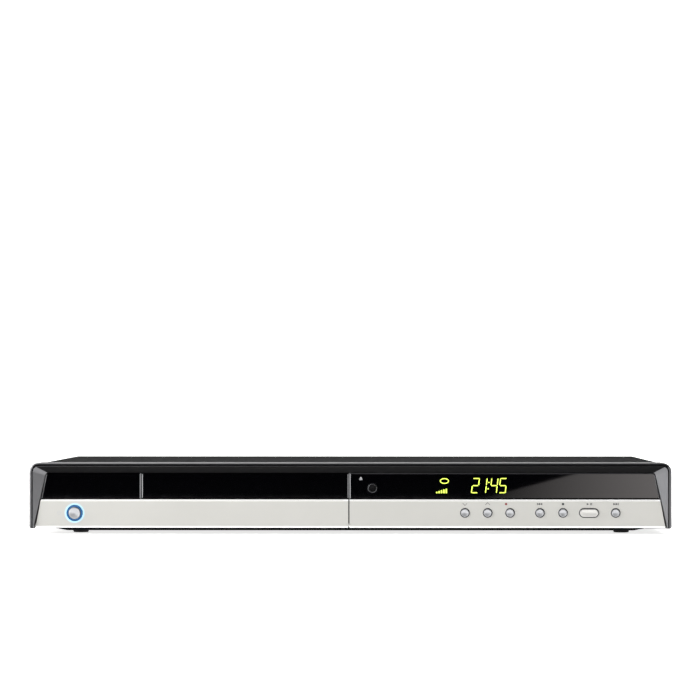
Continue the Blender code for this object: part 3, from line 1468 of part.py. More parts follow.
def build_rear_connectors():
    for name, x in (("av_socket_left", AV_SOCKET_LEFT_X), ("av_socket_right", AV_SOCKET_RIGHT_X)):
        z = socket_z(AV_SOCKET_HEIGHT)
        x0, x1, z0, z1 = mouth_span(x, z, AV_SOCKET_WIDTH, AV_SOCKET_HEIGHT, 0)
        front = REAR_Y - AV_SOCKET_DEPTH
        back = REAR_Y + AV_SOCKET_PROUD
        skew = AV_SOCKET_HEIGHT / 3
        outline = [(x0, z0), (x1, z0), (x1, z1 - skew), (x1 - skew, z1), (x0, z1)]
        wall = AV_SOCKET_WALL
        room = [
            (x0 + wall, z0 + wall),
            (x1 - wall, z0 + wall),
            (x1 - wall, z1 - skew - wall / 2),
            (x1 - skew - wall / 2, z1 - wall),
            (x0 + wall, z1 - wall),
        ]
        body = plate(name, [outline], back - front, (0, (back + front) / 2, 0), "XZ")
        depth = AV_SOCKET_CAVITY + OVERRUN
        mouth = plate(name + "_mouth", [room], depth, (0, back + OVERRUN - depth / 2, 0), "XZ")
        finish(cut(body, mouth), name, "black_plastic")
    behind = REAR_Y - REAR_SHEET - GAP
    x0, x1, z0, z1 = mouth_span(AV_BLOCK_X, socket_z(AV_BLOCK_HEIGHT), AV_BLOCK_WIDTH, AV_BLOCK_HEIGHT, 0)
    block = box("av_jack_block", x0, x1, behind - AV_BLOCK_DEPTH, behind, z0, z1)
    places = [(x, socket_z(AV_BLOCK_HEIGHT)) for x in av_barrel_places()]
    add_barrels(block, "av", places, AV_BARREL_RADIUS, AV_BARREL_BORE, behind)
    finish(block, "av_jack_block", "black_plastic")
    x0, x1, z0, z1 = mouth_span(TUNER_X, socket_z(TUNER_HEIGHT), TUNER_WIDTH, TUNER_HEIGHT, 0)
    tuner = box("tuner_module", x0, x1, behind - TUNER_DEPTH, behind, z0, z1)
    places = [(x, socket_z(TUNER_HEIGHT)) for x in aerial_places()]
    add_barrels(tuner, "aerial", places, TUNER_BARREL_RADIUS, TUNER_BORE, behind)
    finish(tuner, "tuner_module", "zinc_steel")
    build_inlet()


def add_barrels(block, name, places, radius, bore, behind):
    """Round connectors from a block's rear face out to the recorder's rearmost line."""
    tip = REAR_Y + CONNECTOR_REACH
    barrels = cylinders(
        name + "_barrels", radius, [(x, behind - SINK, z) for x, z in places], tip - behind + SINK, "Y"
    )
    bores = cylinders(
        name + "_bores",
        bore,
        [(x, behind, z) for x, z in places],
        tip - behind + OVERRUN,
        "Y",
        FEW_SIDES,
    )
    cut(join(block, barrels), bores)


def build_inlet():
    x0, x1, z0, z1 = mouth_span(INLET_X, socket_z(INLET_HEIGHT), INLET_WIDTH, INLET_HEIGHT, 0)
    back = REAR_Y + INLET_PROUD
    inlet = box("power_inlet", x0, x1, REAR_Y - INLET_DEPTH, back, z0, z1)
    room = box(
        "inlet_room",
        x0 + INLET_WALL,
        x1 - INLET_WALL,
        back - INLET_CAVITY,
        back + OVERRUN,
        z0 + INLET_WALL,
        z1 - INLET_WALL,
    )
    pins = cylinders(
        "inlet_pins",
        PIN_RADIUS,
        [
            (x, back - INLET_CAVITY - SINK, socket_z(INLET_HEIGHT))
            for x in (INLET_X - PIN_SPREAD / 2, INLET_X + PIN_SPREAD / 2)
        ],
        INLET_CAVITY - INLET_PROUD,
        "Y",
        FEW_SIDES,
    )
    finish(join(cut(inlet, room), pins), "power_inlet", "black_plastic")


def build_boards():
    left, right = MAIN_BOARD_LEFT, MAIN_BOARD_RIGHT
    tail_left = MAIN_BOARD_TAIL_LEFT
    front, tail = FRONT_Y + MAIN_BOARD_FRONT, FRONT_Y + MAIN_BOARD_TAIL_FRONT
    rear = FRONT_Y + BOARD_REAR
    outline = [(left, front), (right, front), (right, rear)]
    outline += [(tail_left, rear), (tail_left, tail), (left, tail)]
    board = plate("main_board", [outline], BOARD, (0, 0, BOARD_Z + BOARD / 2))
    half = CHIP_SIZE / 2
    chip_y = FRONT_Y + CHIP_Y
    socket_top = DRIVE_FLOOR_TOP + RIBBON_SOCKET_HEIGHT
    parts = boxes(
        "main_board_parts",
        [
            (
                CHIP_X - half,
                CHIP_X + half,
                chip_y - half,
                chip_y + half,
                BOARD_TOP - SINK,
                BOARD_TOP + CHIP_HEIGHT,
            ),
            (*ribbon_socket_span(RIBBON_TO), BOARD_TOP - SINK, socket_top),
        ],
    )
    finish(join(board, parts), "main_board", "circuit_board")
    power = box(
        "power_board",
        POWER_BOARD_LEFT,
        POWER_BOARD_RIGHT,
        FRONT_Y + POWER_BOARD_FRONT,
        rear,
        BOARD_Z,
        BOARD_TOP,
    )
    finish(power, "power_board", "circuit_board")
    y = FRONT_Y + TRANSFORMER_Y
    base = BOARD_TOP + GAP
    winding = box(
        "transformer",
        TRANSFORMER_X - TRANSFORMER_WIDTH / 2,
        TRANSFORMER_X + TRANSFORMER_WIDTH / 2,
        y - TRANSFORMER_DEPTH / 2,
        y + TRANSFORMER_DEPTH / 2,
        base,
        base + TRANSFORMER_HEIGHT,
    )
    core = box(
        "transformer_core",
        TRANSFORMER_X - TRANSFORMER_WIDTH / 2 - CORE_OVERHANG,
        TRANSFORMER_X + TRANSFORMER_WIDTH / 2 + CORE_OVERHANG,
        y - TRANSFORMER_DEPTH / 2 + CORE_OVERHANG,
        y + TRANSFORMER_DEPTH / 2 - CORE_OVERHANG,
        base + (TRANSFORMER_HEIGHT - CORE_HEIGHT) / 2,
        base + (TRANSFORMER_HEIGHT + CORE_HEIGHT) / 2,
    )
    finish(join(winding, core), "transformer", "copper_winding")
    top = CAPACITOR_HEIGHT
    profile = [
        (0, top),
        (CAPACITOR_RADIUS - CAPACITOR_EDGE, top),
        (CAPACITOR_RADIUS, top - CAPACITOR_EDGE),
        (CAPACITOR_RADIUS, 0),
        (0, 0),
    ]
    capacitor = turned("smoothing_capacitor", profile, (CAPACITOR_X, FRONT_Y + CAPACITOR_Y, base))
    finish(capacitor, "smoothing_capacitor", "black_plastic")


def ribbon_socket_span(setback):
    """Span in x and y of a ribbon socket at this distance behind the fascia."""
    half = RIBBON_WIDTH / 2 + RIBBON_SOCKET_MARGIN
    y = FRONT_Y + setback
    return (
        RIBBON_X - half,
        RIBBON_X + half,
        y - RIBBON_SOCKET_DEPTH / 2,
        y + RIBBON_SOCKET_DEPTH / 2,
    )


def build_ribbon():
    """Flat cable that arches from the drive's rear edge to the main board."""
    middle = FRONT_Y + (RIBBON_FROM + RIBBON_TO) / 2
    radius = (RIBBON_TO - RIBBON_FROM) / 2
    foot = DRIVE_FLOOR_TOP + RIBBON_SOCKET_HEIGHT + GAP
    rise = foot + RIBBON_RISE
    outer = radius + RIBBON_THICKNESS / 2
    inner = radius - RIBBON_THICKNESS / 2
    outline = [(middle + outer, foot)]
    outline += arc(middle, rise, outer, 0, math.pi, RIBBON_STEPS)
    outline += [(middle - outer, foot), (middle - inner, foot)]
    outline += arc(middle, rise, inner, math.pi, 0, RIBBON_STEPS)
    outline.append((middle + inner, foot))
    ribbon = plate("drive_ribbon", [outline], RIBBON_WIDTH, (RIBBON_X, 0, 0), "YZ")
    finish(ribbon, "drive_ribbon", "white_plastic")


def build_fan(joint):
    front = REAR_Y - REAR_SHEET - GAP - FAN_DEPTH
    half = FAN_SIZE / 2
    housing = box(
        "fan_housing",
        FAN_X - half,
        FAN_X + half,
        front,
        front + FAN_DEPTH,
        FAN_Z - half,
        FAN_Z + half,
    )
    bore = cylinder(
        "fan_bore",
        FAN_BORE,
        (FAN_X, front - OVERRUN, FAN_Z),
        FAN_DEPTH + 2 * OVERRUN,
        "Y",
        MANY_SIDES,
    )
    plate_y = front + FAN_DEPTH - FAN_PLATE
    hub = cylinder("fan_seat", FAN_HUB_RADIUS, (FAN_X, plate_y, FAN_Z), FAN_PLATE, "Y")
    axle = cylinder(
        "fan_axle",
        AXLE_RADIUS,
        (FAN_X, front + OVERRUN, FAN_Z),
        FAN_DEPTH - FAN_PLATE / 2 - OVERRUN,
        "Y",
        FEW_SIDES,
    )
    reach = FAN_BORE + SINK
    thin = FAN_STRUT / 2
    plate_end = front + FAN_DEPTH
    struts = box("fan_strut", FAN_X - reach, FAN_X + reach, plate_y, plate_end, FAN_Z - thin, FAN_Z + thin)
    upright = box("fan_upright", FAN_X - thin, FAN_X + thin, plate_y, plate_end, FAN_Z - reach, FAN_Z + reach)
    finish(join(cut(housing, bore), hub, struts, upright, axle), "fan_housing", "black_plastic")
    rotor_y = plate_y - GAP - FAN_HUB_DEPTH
    rotor = cylinder("fan_rotor", FAN_HUB_RADIUS, (FAN_X, rotor_y, FAN_Z), FAN_HUB_DEPTH, "Y")
    shaft_hole = cylinder(
        "fan_shaft_hole",
        AXLE_RADIUS + BORE_GAP,
        (FAN_X, rotor_y - OVERRUN, FAN_Z),
        FAN_HUB_DEPTH + 2 * OVERRUN,
        "Y",
        FEW_SIDES,
    )
    inner = FAN_HUB_RADIUS - SINK
    outer = FAN_BORE - FAN_TIP_GAP
    mesh = bpy.data.meshes.new("fan_blades")
    shape = bmesh.new()
    for i in range(FAN_BLADES):
        place = (
            Matrix.Translation((FAN_X, rotor_y + FAN_HUB_DEPTH / 2, FAN_Z))
            @ Matrix.Rotation(FULL_TURN * i / FAN_BLADES, 4, "Y")
            @ Matrix.Translation(((inner + outer) / 2, 0, 0))
            @ Matrix.Rotation(BLADE_PITCH, 4, "X")
            @ Matrix.Diagonal((outer - inner, BLADE_THICKNESS, BLADE_CHORD, 1))
        )
        bmesh.ops.create_cube(shape, size=1, matrix=place)
    shape.to_mesh(mesh)
    shape.free()
    finish(cut(join(rotor, link("fan_blades", mesh)), shaft_hole), "fan_rotor", "black_plastic", joint)


def build_loader_frame():
    y0, y1 = FRONT_Y + DRIVE_FRONT, FRONT_Y + DRIVE_REAR
    outer = DRIVE_WIDTH / 2
    inner = outer - DRIVE_WALL
    middle = outer - DRIVE_WALL / 2
    floor = box("loader_frame", DRIVE_X - middle, DRIVE_X + middle, y0, y1, DRIVE_FLOOR_LIFT, DRIVE_FLOOR_TOP)
    hole = TRAVERSE_HALF + TRAVERSE_GAP
    room = box(
        "traverse_room",
        DRIVE_X - hole,
        DRIVE_X + hole,
        FRONT_Y + TRAVERSE_FRONT - TRAVERSE_GAP,
        FRONT_Y + TRAVERSE_REAR + TRAVERSE_GAP,
        DRIVE_FLOOR_LIFT - OVERRUN,
        DRIVE_FLOOR_TOP + OVERRUN,
    )
    nose = FRONT_Y + DRIVE_NOSE
    side = [
        (y0, DRIVE_FLOOR_LIFT),
        (y1, DRIVE_FLOOR_LIFT),
        (y1, DRIVE_TOP),
        (nose, DRIVE_TOP),
        (nose, NOSE_BOTTOM),
        (y0, NOSE_BOTTOM),
    ]
    walls = [
        plate(f"loader_wall_{i}", [side], DRIVE_WALL, (DRIVE_X + turn * middle, 0, 0), "YZ")
        for i, turn in enumerate((-1, 1))
    ]
    rail_top = TRAY_BOTTOM - GAP
    guide_low = TRAY_TOP + GAP
    ledges = []
    for turn in (-1, 1):
        wall = DRIVE_X + turn * (inner + SINK)
        rail = sorted((wall, DRIVE_X + turn * (inner - RAIL_REACH)))
        guide = sorted((wall, DRIVE_X + turn * (inner - GUIDE_REACH)))
        ledges.append((*rail, nose + SINK, y1 - SINK, rail_top - RAIL_THICKNESS, rail_top))
        for centre in GUIDE_CENTRES:
            y = FRONT_Y + centre
            along = (y - GUIDE_LENGTH / 2, y + GUIDE_LENGTH / 2)
            ledges.append((*guide, *along, guide_low, guide_low + GUIDE_THICKNESS))
    boss_height = LOWER_GEAR_Z - GAP - DRIVE_FLOOR_TOP + SINK
    starts = [(x, GEAR_Y, DRIVE_FLOOR_TOP - SINK) for x in (TRAY_GEAR_X, BELT_GEAR_X)]
    bosses = cylinders("gear_bosses", AXLE_BOSS_RADIUS, starts, boss_height, "Z", FEW_SIDES)
    tray_height = upper_gear_z() + UPPER_GEAR_HEIGHT - starts[0][2]
    tray_axle = cylinder("tray_gear_axle", AXLE_RADIUS, starts[0], tray_height, "Z", FEW_SIDES)
    belt_height = PULLEY_Z + PULLEY_HEIGHT - starts[1][2]
    belt_axle = cylinder("belt_gear_axle", AXLE_RADIUS, starts[1], belt_height, "Z", FEW_SIDES)
    fittings = boxes("loader_fittings", cam_guides() + pivot_lugs())
    pivot_reach = TRAVERSE_HALF + LUG_OFFSET + LUG_THICKNESS + OVERRUN
    pivot_hole = cylinder(
        "pivot_hole",
        PIVOT_RADIUS + BORE_GAP,
        (DRIVE_X - pivot_reach, PIVOT_Y, PIVOT_Z),
        2 * pivot_reach,
        "X",
        FEW_SIDES,
    )
    socket = box(
        "drive_ribbon_socket",
        *ribbon_socket_span(RIBBON_FROM),
        DRIVE_FLOOR_TOP - SINK,
        DRIVE_FLOOR_TOP + RIBBON_SOCKET_HEIGHT,
    )
    cut(floor, room)
    join(floor, *walls, boxes("loader_ledges", ledges), bosses, tray_axle, belt_axle, fittings, socket)
    finish(cut(floor, pivot_hole), "loader_frame", "black_plastic")


def cam_guides():
    """The two ribs that the cam slider runs between."""
    left = DRIVE_X - CAM_LEFT - OVERRUN
    right = DRIVE_X + CAM_RIGHT + CAM_TRAVEL
    low, high = DRIVE_FLOOR_TOP - SINK, DRIVE_FLOOR_TOP + CAM_GUIDE_HEIGHT
    front = CAM_Y - GAP
    back = CAM_Y + CAM_THICKNESS + GAP
    return [
        (left, right, front - CAM_GUIDE, front, low, high),
        (left, right, back, back + CAM_GUIDE, low, high),
    ]


def pivot_lugs():
    """The two ears that carry the traverse's pivot."""
    lugs = []
    for turn in (-1, 1):
        near = DRIVE_X + turn * (TRAVERSE_HALF + LUG_OFFSET)
        span = sorted((near, near + turn * LUG_THICKNESS))
        along = (PIVOT_Y - LUG_DEPTH / 2, PIVOT_Y + LUG_DEPTH / 2)
        lugs.append((*span, *along, DRIVE_FLOOR_TOP - SINK, LUG_TOP))
    return lugs


def upper_gear_z():
    """Underside of the tray gear's upper wheel, level with the rack's."""
    return TRAY_BOTTOM - RACK_HEIGHT


def build_tray(joint):
    half = TRAY_WIDTH / 2
    end = FRONT_Y + TRAY_END
    outline = rounded(
        [
            (DRIVE_X - half, BASE_Y, TRAY_CORNER),
            (DRIVE_X + half, BASE_Y, TRAY_CORNER),
            (DRIVE_X + half, end, TRAY_CORNER),
            (DRIVE_X - half, end, TRAY_CORNER),
        ]
    )
    tray = plate("tray_drawer", [outline], TRAY_THICKNESS, (0, 0, TRAY_BOTTOM + TRAY_THICKNESS / 2))
    well_floor = TRAY_TOP - WELL_DEPTH
    well = cylinder(
        "disc_well",
        DISC_RADIUS + DISC_GAP,
        (DRIVE_X, SPINDLE_Y, well_floor),
        WELL_DEPTH + OVERRUN,
        "Z",
        WELL_SIDES,
    )
    small_well = cylinder(
        "small_disc_well",
        SMALL_WELL_RADIUS,
        (DRIVE_X, SPINDLE_Y, well_floor - SMALL_WELL_DEPTH),
        SMALL_WELL_DEPTH + OVERRUN,
        "Z",
        WELL_SIDES,
    )
    reach = TRAY_SLOT / 2
    slot_front = arc(DRIVE_X, SPINDLE_Y, reach, math.pi, FULL_TURN, SIDES)
    slot_end = end + OVERRUN
    slot = plate(
        "pickup_slot",
        [slot_front + [(DRIVE_X + reach, slot_end), (DRIVE_X - reach, slot_end)]],
        TRAY_THICKNESS + 2 * OVERRUN,
        (0, 0, TRAY_BOTTOM + TRAY_THICKNESS / 2),
    )
    rack_height = RACK_HEIGHT + SINK
    rack = plate("rack", [rack_outline()], rack_height, (0, 0, upper_gear_z() + rack_height / 2))
    finish(cut(join(tray, rack), well, small_well, slot), "tray_drawer", "black_plastic", joint)


def pulley_profile(radius):
    """A pulley's outer side, top to bottom, with a groove for the belt between two flanges."""
    groove = radius - GROOVE_DEPTH
    return [
        (radius, PULLEY_HEIGHT),
        (radius, PULLEY_HEIGHT - PULLEY_FLANGE),
        (groove, PULLEY_HEIGHT - PULLEY_FLANGE - PULLEY_FLANGE / 2),
        (groove, PULLEY_FLANGE + PULLEY_FLANGE / 2),
        (radius, PULLEY_FLANGE),
        (radius, 0),
    ]


def build_tray_gears(tray_joint, belt_joint, motor_joint):
    bore = AXLE_RADIUS + BORE_GAP
    lower = plate(
        "tray_gear",
        [gear_outline(TRAY_GEAR_X, GEAR_Y, LOW_GEAR_TEETH, LOW_MODULE, 0)],
        LOWER_GEAR_HEIGHT,
        (0, 0, LOWER_GEAR_Z + LOWER_GEAR_HEIGHT / 2),
    )
    upper = plate(
        "rack_wheel",
        [gear_outline(TRAY_GEAR_X, GEAR_Y, TRAY_GEAR_TEETH, GEAR_MODULE, 0)],
        UPPER_GEAR_HEIGHT,
        (0, 0, upper_gear_z() + UPPER_GEAR_HEIGHT / 2),
    )
    hub_z = LOWER_GEAR_Z + LOWER_GEAR_HEIGHT - SINK
    hub_height = upper_gear_z() + SINK - hub_z
    hub = cylinder("tray_gear_hub", GEAR_HUB_RADIUS, (TRAY_GEAR_X, GEAR_Y, hub_z), hub_height)
    hole = cylinder(
        "tray_gear_bore",
        bore,
        (TRAY_GEAR_X, GEAR_Y, LOWER_GEAR_Z - OVERRUN),
        upper_gear_z() + UPPER_GEAR_HEIGHT - LOWER_GEAR_Z + 2 * OVERRUN,
        "Z",
        FEW_SIDES,
    )
    finish(cut(join(lower, hub, upper), hole), "tray_gear", "white_plastic", tray_joint)
    half_pitch = math.pi / PINION_TEETH
    pinion_height = PULLEY_Z + SINK - LOWER_GEAR_Z
    pinion = plate(
        "belt_gear",
        [gear_outline(BELT_GEAR_X, GEAR_Y, PINION_TEETH, LOW_MODULE, half_pitch)],
        pinion_height,
        (0, 0, LOWER_GEAR_Z + pinion_height / 2),
    )
    profile = [(0, PULLEY_HEIGHT)] + pulley_profile(PULLEY_RADIUS) + [(0, 0)]
    pulley = turned("pulley", profile, (BELT_GEAR_X, GEAR_Y, PULLEY_Z), "Z", MANY_SIDES)
    hole = cylinder(
        "belt_gear_bore",
        bore,
        (BELT_GEAR_X, GEAR_Y, LOWER_GEAR_Z - OVERRUN),
        PULLEY_Z + PULLEY_HEIGHT - LOWER_GEAR_Z + 2 * OVERRUN,
        "Z",
        FEW_SIDES,
    )
    finish(cut(join(pinion, pulley), hole), "belt_gear", "white_plastic", belt_joint)
    shaft_gap = MOTOR_SHAFT_RADIUS + BORE_GAP
    profile = pulley_profile(MOTOR_PULLEY_RADIUS + GROOVE_DEPTH)
    profile += [(shaft_gap, 0), (shaft_gap, PULLEY_HEIGHT)]
    motor_pulley = turned("motor_pulley", profile, (MOTOR_X, GEAR_Y, PULLEY_Z))
    finish(motor_pulley, "motor_pulley", "white_plastic", motor_joint)


def belt_outline(grow):
    """The belt's path round both pulleys, this much outside their grooves."""
    big = PULLEY_RADIUS - GROOVE_DEPTH + grow
    small = MOTOR_PULLEY_RADIUS + grow
    distance = MOTOR_X - BELT_GEAR_X
    lean = math.acos((big - small) / distance)
    round_big = arc(BELT_GEAR_X, GEAR_Y, big, lean, FULL_TURN - lean, MANY_SIDES)
    round_small = arc(MOTOR_X, GEAR_Y, small, -lean, lean, SIDES)
    return round_big + round_small


def build_tray_motor():
    groove_height = PULLEY_HEIGHT - 3 * PULLEY_FLANGE - GAP
    loops = [belt_outline(BELT_GAP + BELT_THICKNESS), belt_outline(BELT_GAP)]
    belt = plate("drive_belt", loops, groove_height, (0, 0, PULLEY_Z + PULLEY_HEIGHT / 2))
    finish(belt, "drive_belt", "rubber")
    base = DRIVE_FLOOR_TOP + GAP
    profile = [
        (0, PULLEY_Z + PULLEY_HEIGHT - base),
        (MOTOR_SHAFT_RADIUS, PULLEY_Z + PULLEY_HEIGHT - base),
        (MOTOR_SHAFT_RADIUS, MOTOR_TOP - base),
        (MOTOR_RADIUS, MOTOR_TOP - base),
        (MOTOR_RADIUS, 0),
        (0, 0),
    ]
    finish(turned("loading_motor", profile, (MOTOR_X, GEAR_Y, base)), "loading_motor", "zinc_steel")


def cam_pin_drop():
    """How far the cam lowers the traverse's front pin at full tilt."""
    arm = PIVOT_Y - CAM_Y - CAM_THICKNESS / 2
    height = CAM_PIN_Z - PIVOT_Z
    return arm * math.sin(TRAVERSE_TILT) + height * (1 - math.cos(TRAVERSE_TILT))


def build_cam_slider(joint):
    bottom = DRIVE_FLOOR_TOP + GAP
    slider = box(
        "cam_slider",
        DRIVE_X - CAM_LEFT,
        DRIVE_X + CAM_RIGHT,
        CAM_Y,
        CAM_Y + CAM_THICKNESS,
        bottom,
        CAM_PIN_Z + CAM_PIN_RADIUS + CAM_SLOT_GAP + CAM_RIM,
    )
    pin_x = DRIVE_X + CAM_PIN_OFFSET
    slot = plate(
        "cam_slot",
        [
            slot_outline(
                (pin_x, CAM_PIN_Z),
                (pin_x - CAM_TRAVEL, CAM_PIN_Z - cam_pin_drop()),
                CAM_PIN_RADIUS + CAM_SLOT_GAP,
            )
        ],
        CAM_THICKNESS + 2 * OVERRUN,
        (0, CAM_Y + CAM_THICKNESS / 2, 0),
        "XZ",
    )
    finish(cut(slider, slot), "cam_slider", "white_plastic", joint)


def build_traverse(joint):
    front, back = FRONT_Y + TRAVERSE_FRONT, FRONT_Y + TRAVERSE_REAR
    top = TRAVERSE_Z + TRAVERSE_PLATE
    outline = [
        (DRIVE_X - TRAVERSE_HALF, front),
        (DRIVE_X + TRAVERSE_HALF, front),
        (DRIVE_X + TRAVERSE_HALF, back),
        (DRIVE_X - TRAVERSE_HALF, back),
    ]
    window = [
        (DRIVE_X - WINDOW_HALF, FRONT_Y + WINDOW_FRONT),
        (DRIVE_X - WINDOW_HALF, FRONT_Y + WINDOW_REAR),
        (DRIVE_X + WINDOW_HALF, FRONT_Y + WINDOW_REAR),
        (DRIVE_X + WINDOW_HALF, FRONT_Y + WINDOW_FRONT),
    ]
    frame = plate("traverse_frame", [outline, window], TRAVERSE_PLATE, (0, 0, PIVOT_Z))
    blocks = []
    for y0 in (FRONT_Y + ROD_FRONT, FRONT_Y + ROD_REAR - ROD_BLOCK):
        for side in (-1, 1):
            x = DRIVE_X + side * ROD_X
            reach = ROD_BLOCK_HALF
            if side > 0 and y0 > FRONT_Y + ROD_FRONT:
                reach = SCREW_X - ROD_X + SLED_EAR_WALL
            blocks.append((x - ROD_BLOCK_HALF, x + reach, y0, y0 + ROD_BLOCK, top - SINK, ROD_BLOCK_TOP))
    pin_x = DRIVE_X + CAM_PIN_OFFSET
    blocks.append(
        (
            pin_x - CAM_LUG_HALF,
            pin_x + CAM_LUG_HALF,
            front,
            front + CAM_LUG_DEPTH,
            top - SINK,
            CAM_PIN_Z + CAM_LUG_HALF,
        )
    )
    length = ROD_REAR - ROD_FRONT + 2 * OVERRUN
    rod_holes = cylinders(
        "rod_holes",
        ROD_RADIUS + BORE_GAP,
        [(DRIVE_X + side * ROD_X, FRONT_Y + ROD_FRONT - OVERRUN, ROD_Z) for side in (-1, 1)],
        length,
        "Y",
        FEW_SIDES,
    )
    screw_hole = cylinder(
        "lead_screw_hole",
        LEAD_SCREW_RADIUS + BORE_GAP,
        (DRIVE_X + SCREW_X, FRONT_Y + ROD_REAR - ROD_BLOCK - OVERRUN, ROD_Z),
        ROD_BLOCK + 2 * OVERRUN,
        "Y",
        FEW_SIDES,
    )
    left = DRIVE_X - TRAVERSE_HALF - PIVOT_REACH
    pivots = cylinders(
        "pivot_pins",
        PIVOT_RADIUS,
        [(left, PIVOT_Y, PIVOT_Z), (DRIVE_X + TRAVERSE_HALF - OVERRUN, PIVOT_Y, PIVOT_Z)],
        PIVOT_REACH + OVERRUN,
        "X",
        FEW_SIDES,
    )
    pin_length = front - CAM_Y + SINK
    cam_pin = cylinder("cam_pin", CAM_PIN_RADIUS, (pin_x, CAM_Y, CAM_PIN_Z), pin_length, "Y", FEW_SIDES)
    join(frame, boxes("traverse_blocks", blocks))
    cut(frame, rod_holes, screw_hole)
    join(frame, pivots, cam_pin)
    finish(frame, "traverse_frame", "zinc_steel", joint)


def build_spindle(traverse_joint, spin_joint, clamper_joint):
    base = TRAVERSE_Z + TRAVERSE_PLATE + GAP
    top = SPINDLE_MOTOR_TOP - base
    shaft = ROD_RADIUS + BORE_GAP
    depth = SPINDLE_SHAFT + GAP
    motor_profile = [
        (0, top - depth),
        (shaft, top - depth),
        (shaft, top),
        (SPINDLE_MOTOR_RADIUS, top),
        (SPINDLE_MOTOR_RADIUS, 0),
        (0, 0),
    ]
    motor = turned("spindle_motor", motor_profile, (DRIVE_X, SPINDLE_Y, base), "Z", MANY_SIDES)
    finish(motor, "spindle_motor", "zinc_steel", traverse_joint)
    hub_bottom = SPINDLE_MOTOR_TOP + GAP
    profile = [
        (0, TURNTABLE_TOP + CONE_HEIGHT),
        (CONE_TOP_RADIUS, TURNTABLE_TOP + CONE_HEIGHT),
        (CONE_RADIUS, TURNTABLE_TOP),
        (TURNTABLE_RADIUS, TURNTABLE_TOP),
        (TURNTABLE_RADIUS, TURNTABLE_TOP - TURNTABLE_THICKNESS),
        (TURNTABLE_HUB_RADIUS, TURNTABLE_TOP - TURNTABLE_THICKNESS),
        (TURNTABLE_HUB_RADIUS, hub_bottom),
        (ROD_RADIUS, hub_bottom),
        (ROD_RADIUS, hub_bottom - SPINDLE_SHAFT),
        (0, hub_bottom - SPINDLE_SHAFT),
    ]
    table = turned("turntable", profile, (DRIVE_X, SPINDLE_Y, 0), "Z", MANY_SIDES)
    finish(table, "turntable", "black_plastic", spin_joint)
    bridge_z = DRIVE_TOP + GAP
    half = DRIVE_WIDTH / 2
    bridge = box(
        "clamp_bridge",
        DRIVE_X - half,
        DRIVE_X + half,
        FRONT_Y + BRIDGE_FRONT,
        FRONT_Y + BRIDGE_REAR,
        bridge_z,
        bridge_z + BRIDGE_SHEET,
    )
    hole = cylinder(
        "clamper_hole",
        CLAMPER_RADIUS + CLAMPER_HOLE_GAP,
        (DRIVE_X, SPINDLE_Y, bridge_z - OVERRUN),
        BRIDGE_SHEET + 2 * OVERRUN,
        "Z",
        MANY_SIDES,
    )
    finish(cut(bridge, hole), "clamp_bridge", "zinc_steel")
    flange = bridge_z + BRIDGE_SHEET + GAP
    profile = [
        (0, flange + CLAMPER_FLANGE),
        (CLAMPER_FLANGE_RADIUS, flange + CLAMPER_FLANGE),
        (CLAMPER_FLANGE_RADIUS, flange),
        (CLAMPER_RADIUS, flange),
        (CLAMPER_RADIUS, CLAMPER_BOTTOM),
        (CLAMPER_RECESS_RADIUS, CLAMPER_BOTTOM),
        (CLAMPER_RECESS_RADIUS, CLAMPER_BOTTOM + CLAMPER_RECESS),
        (0, CLAMPER_BOTTOM + CLAMPER_RECESS),
    ]
    clamper = turned("clamper", profile, (DRIVE_X, SPINDLE_Y, 0), "Z", MANY_SIDES)
    finish(clamper, "clamper", "white_plastic", clamper_joint)


def build_pickup(traverse_joint, sled_joint, screw_joint):
    y0 = FRONT_Y + SLED_FRONT
    y1 = y0 + SLED_LENGTH
    sled = box("pickup_sled", DRIVE_X - SLED_HALF, DRIVE_X + SLED_HALF, y0, y1, SLED_BOTTOM, SLED_TOP)
    ears = boxes(
        "sled_ears",
        [
            (
                DRIVE_X - ROD_X - SLED_EAR_WALL,
                DRIVE_X - SLED_HALF + SINK,
                y0 + SINK,
                y1 - SINK,
                SLED_EAR_BOTTOM,
                SLED_EAR_TOP,
            ),
            (
                DRIVE_X + SLED_HALF - SINK,
                DRIVE_X + SCREW_X + SLED_EAR_WALL,
                y0 + SINK,
                y1 - SINK,
                SLED_EAR_BOTTOM,
                SLED_EAR_TOP,
            ),
        ],
    )
    lens_place = (DRIVE_X, (y0 + y1) / 2, SLED_TOP - SINK)
    lens = cylinder("lens", LENS_RADIUS, lens_place, LENS_TOP - SLED_TOP + SINK)
    bores = cylinders(
        "sled_bores",
        ROD_RADIUS + BORE_GAP,
        [(DRIVE_X + x, y0 - OVERRUN, ROD_Z) for x in (-ROD_X, ROD_X, SCREW_X)],
        SLED_LENGTH + 2 * OVERRUN,
        "Y",
        FEW_SIDES,
    )
    finish(cut(join(sled, ears, lens), bores), "pickup_sled", "black_plastic", sled_joint)
    for side, turn in (("left", -1), ("right", 1)):
        name = f"guide_rod_{side}"
        rod = cylinder(
            name,
            ROD_RADIUS,
            (DRIVE_X + turn * ROD_X, FRONT_Y + ROD_FRONT, ROD_Z),
            ROD_REAR - ROD_FRONT,
            "Y",
            FEW_SIDES,
        )
        finish(rod, name, "spun_metal", traverse_joint)
    motor_back = FRONT_Y + SLED_FRONT - SLED_MOTOR_GAP
    feed_motor = cylinder(
        "feed_motor",
        FEED_MOTOR_RADIUS,
        (DRIVE_X + SCREW_X, motor_back - FEED_MOTOR_LENGTH, ROD_Z),
        FEED_MOTOR_LENGTH,
        "Y",
    )
    finish(feed_motor, "feed_motor", "zinc_steel", traverse_joint)
    screw_y = motor_back + GAP
    screw = cylinder(
        "lead_screw",
        LEAD_SCREW_RADIUS,
        (DRIVE_X + SCREW_X, screw_y, ROD_Z),
        FRONT_Y + ROD_REAR - screw_y,
        "Y",
        FEW_SIDES,
    )
    finish(screw, "lead_screw", "spun_metal", screw_joint)


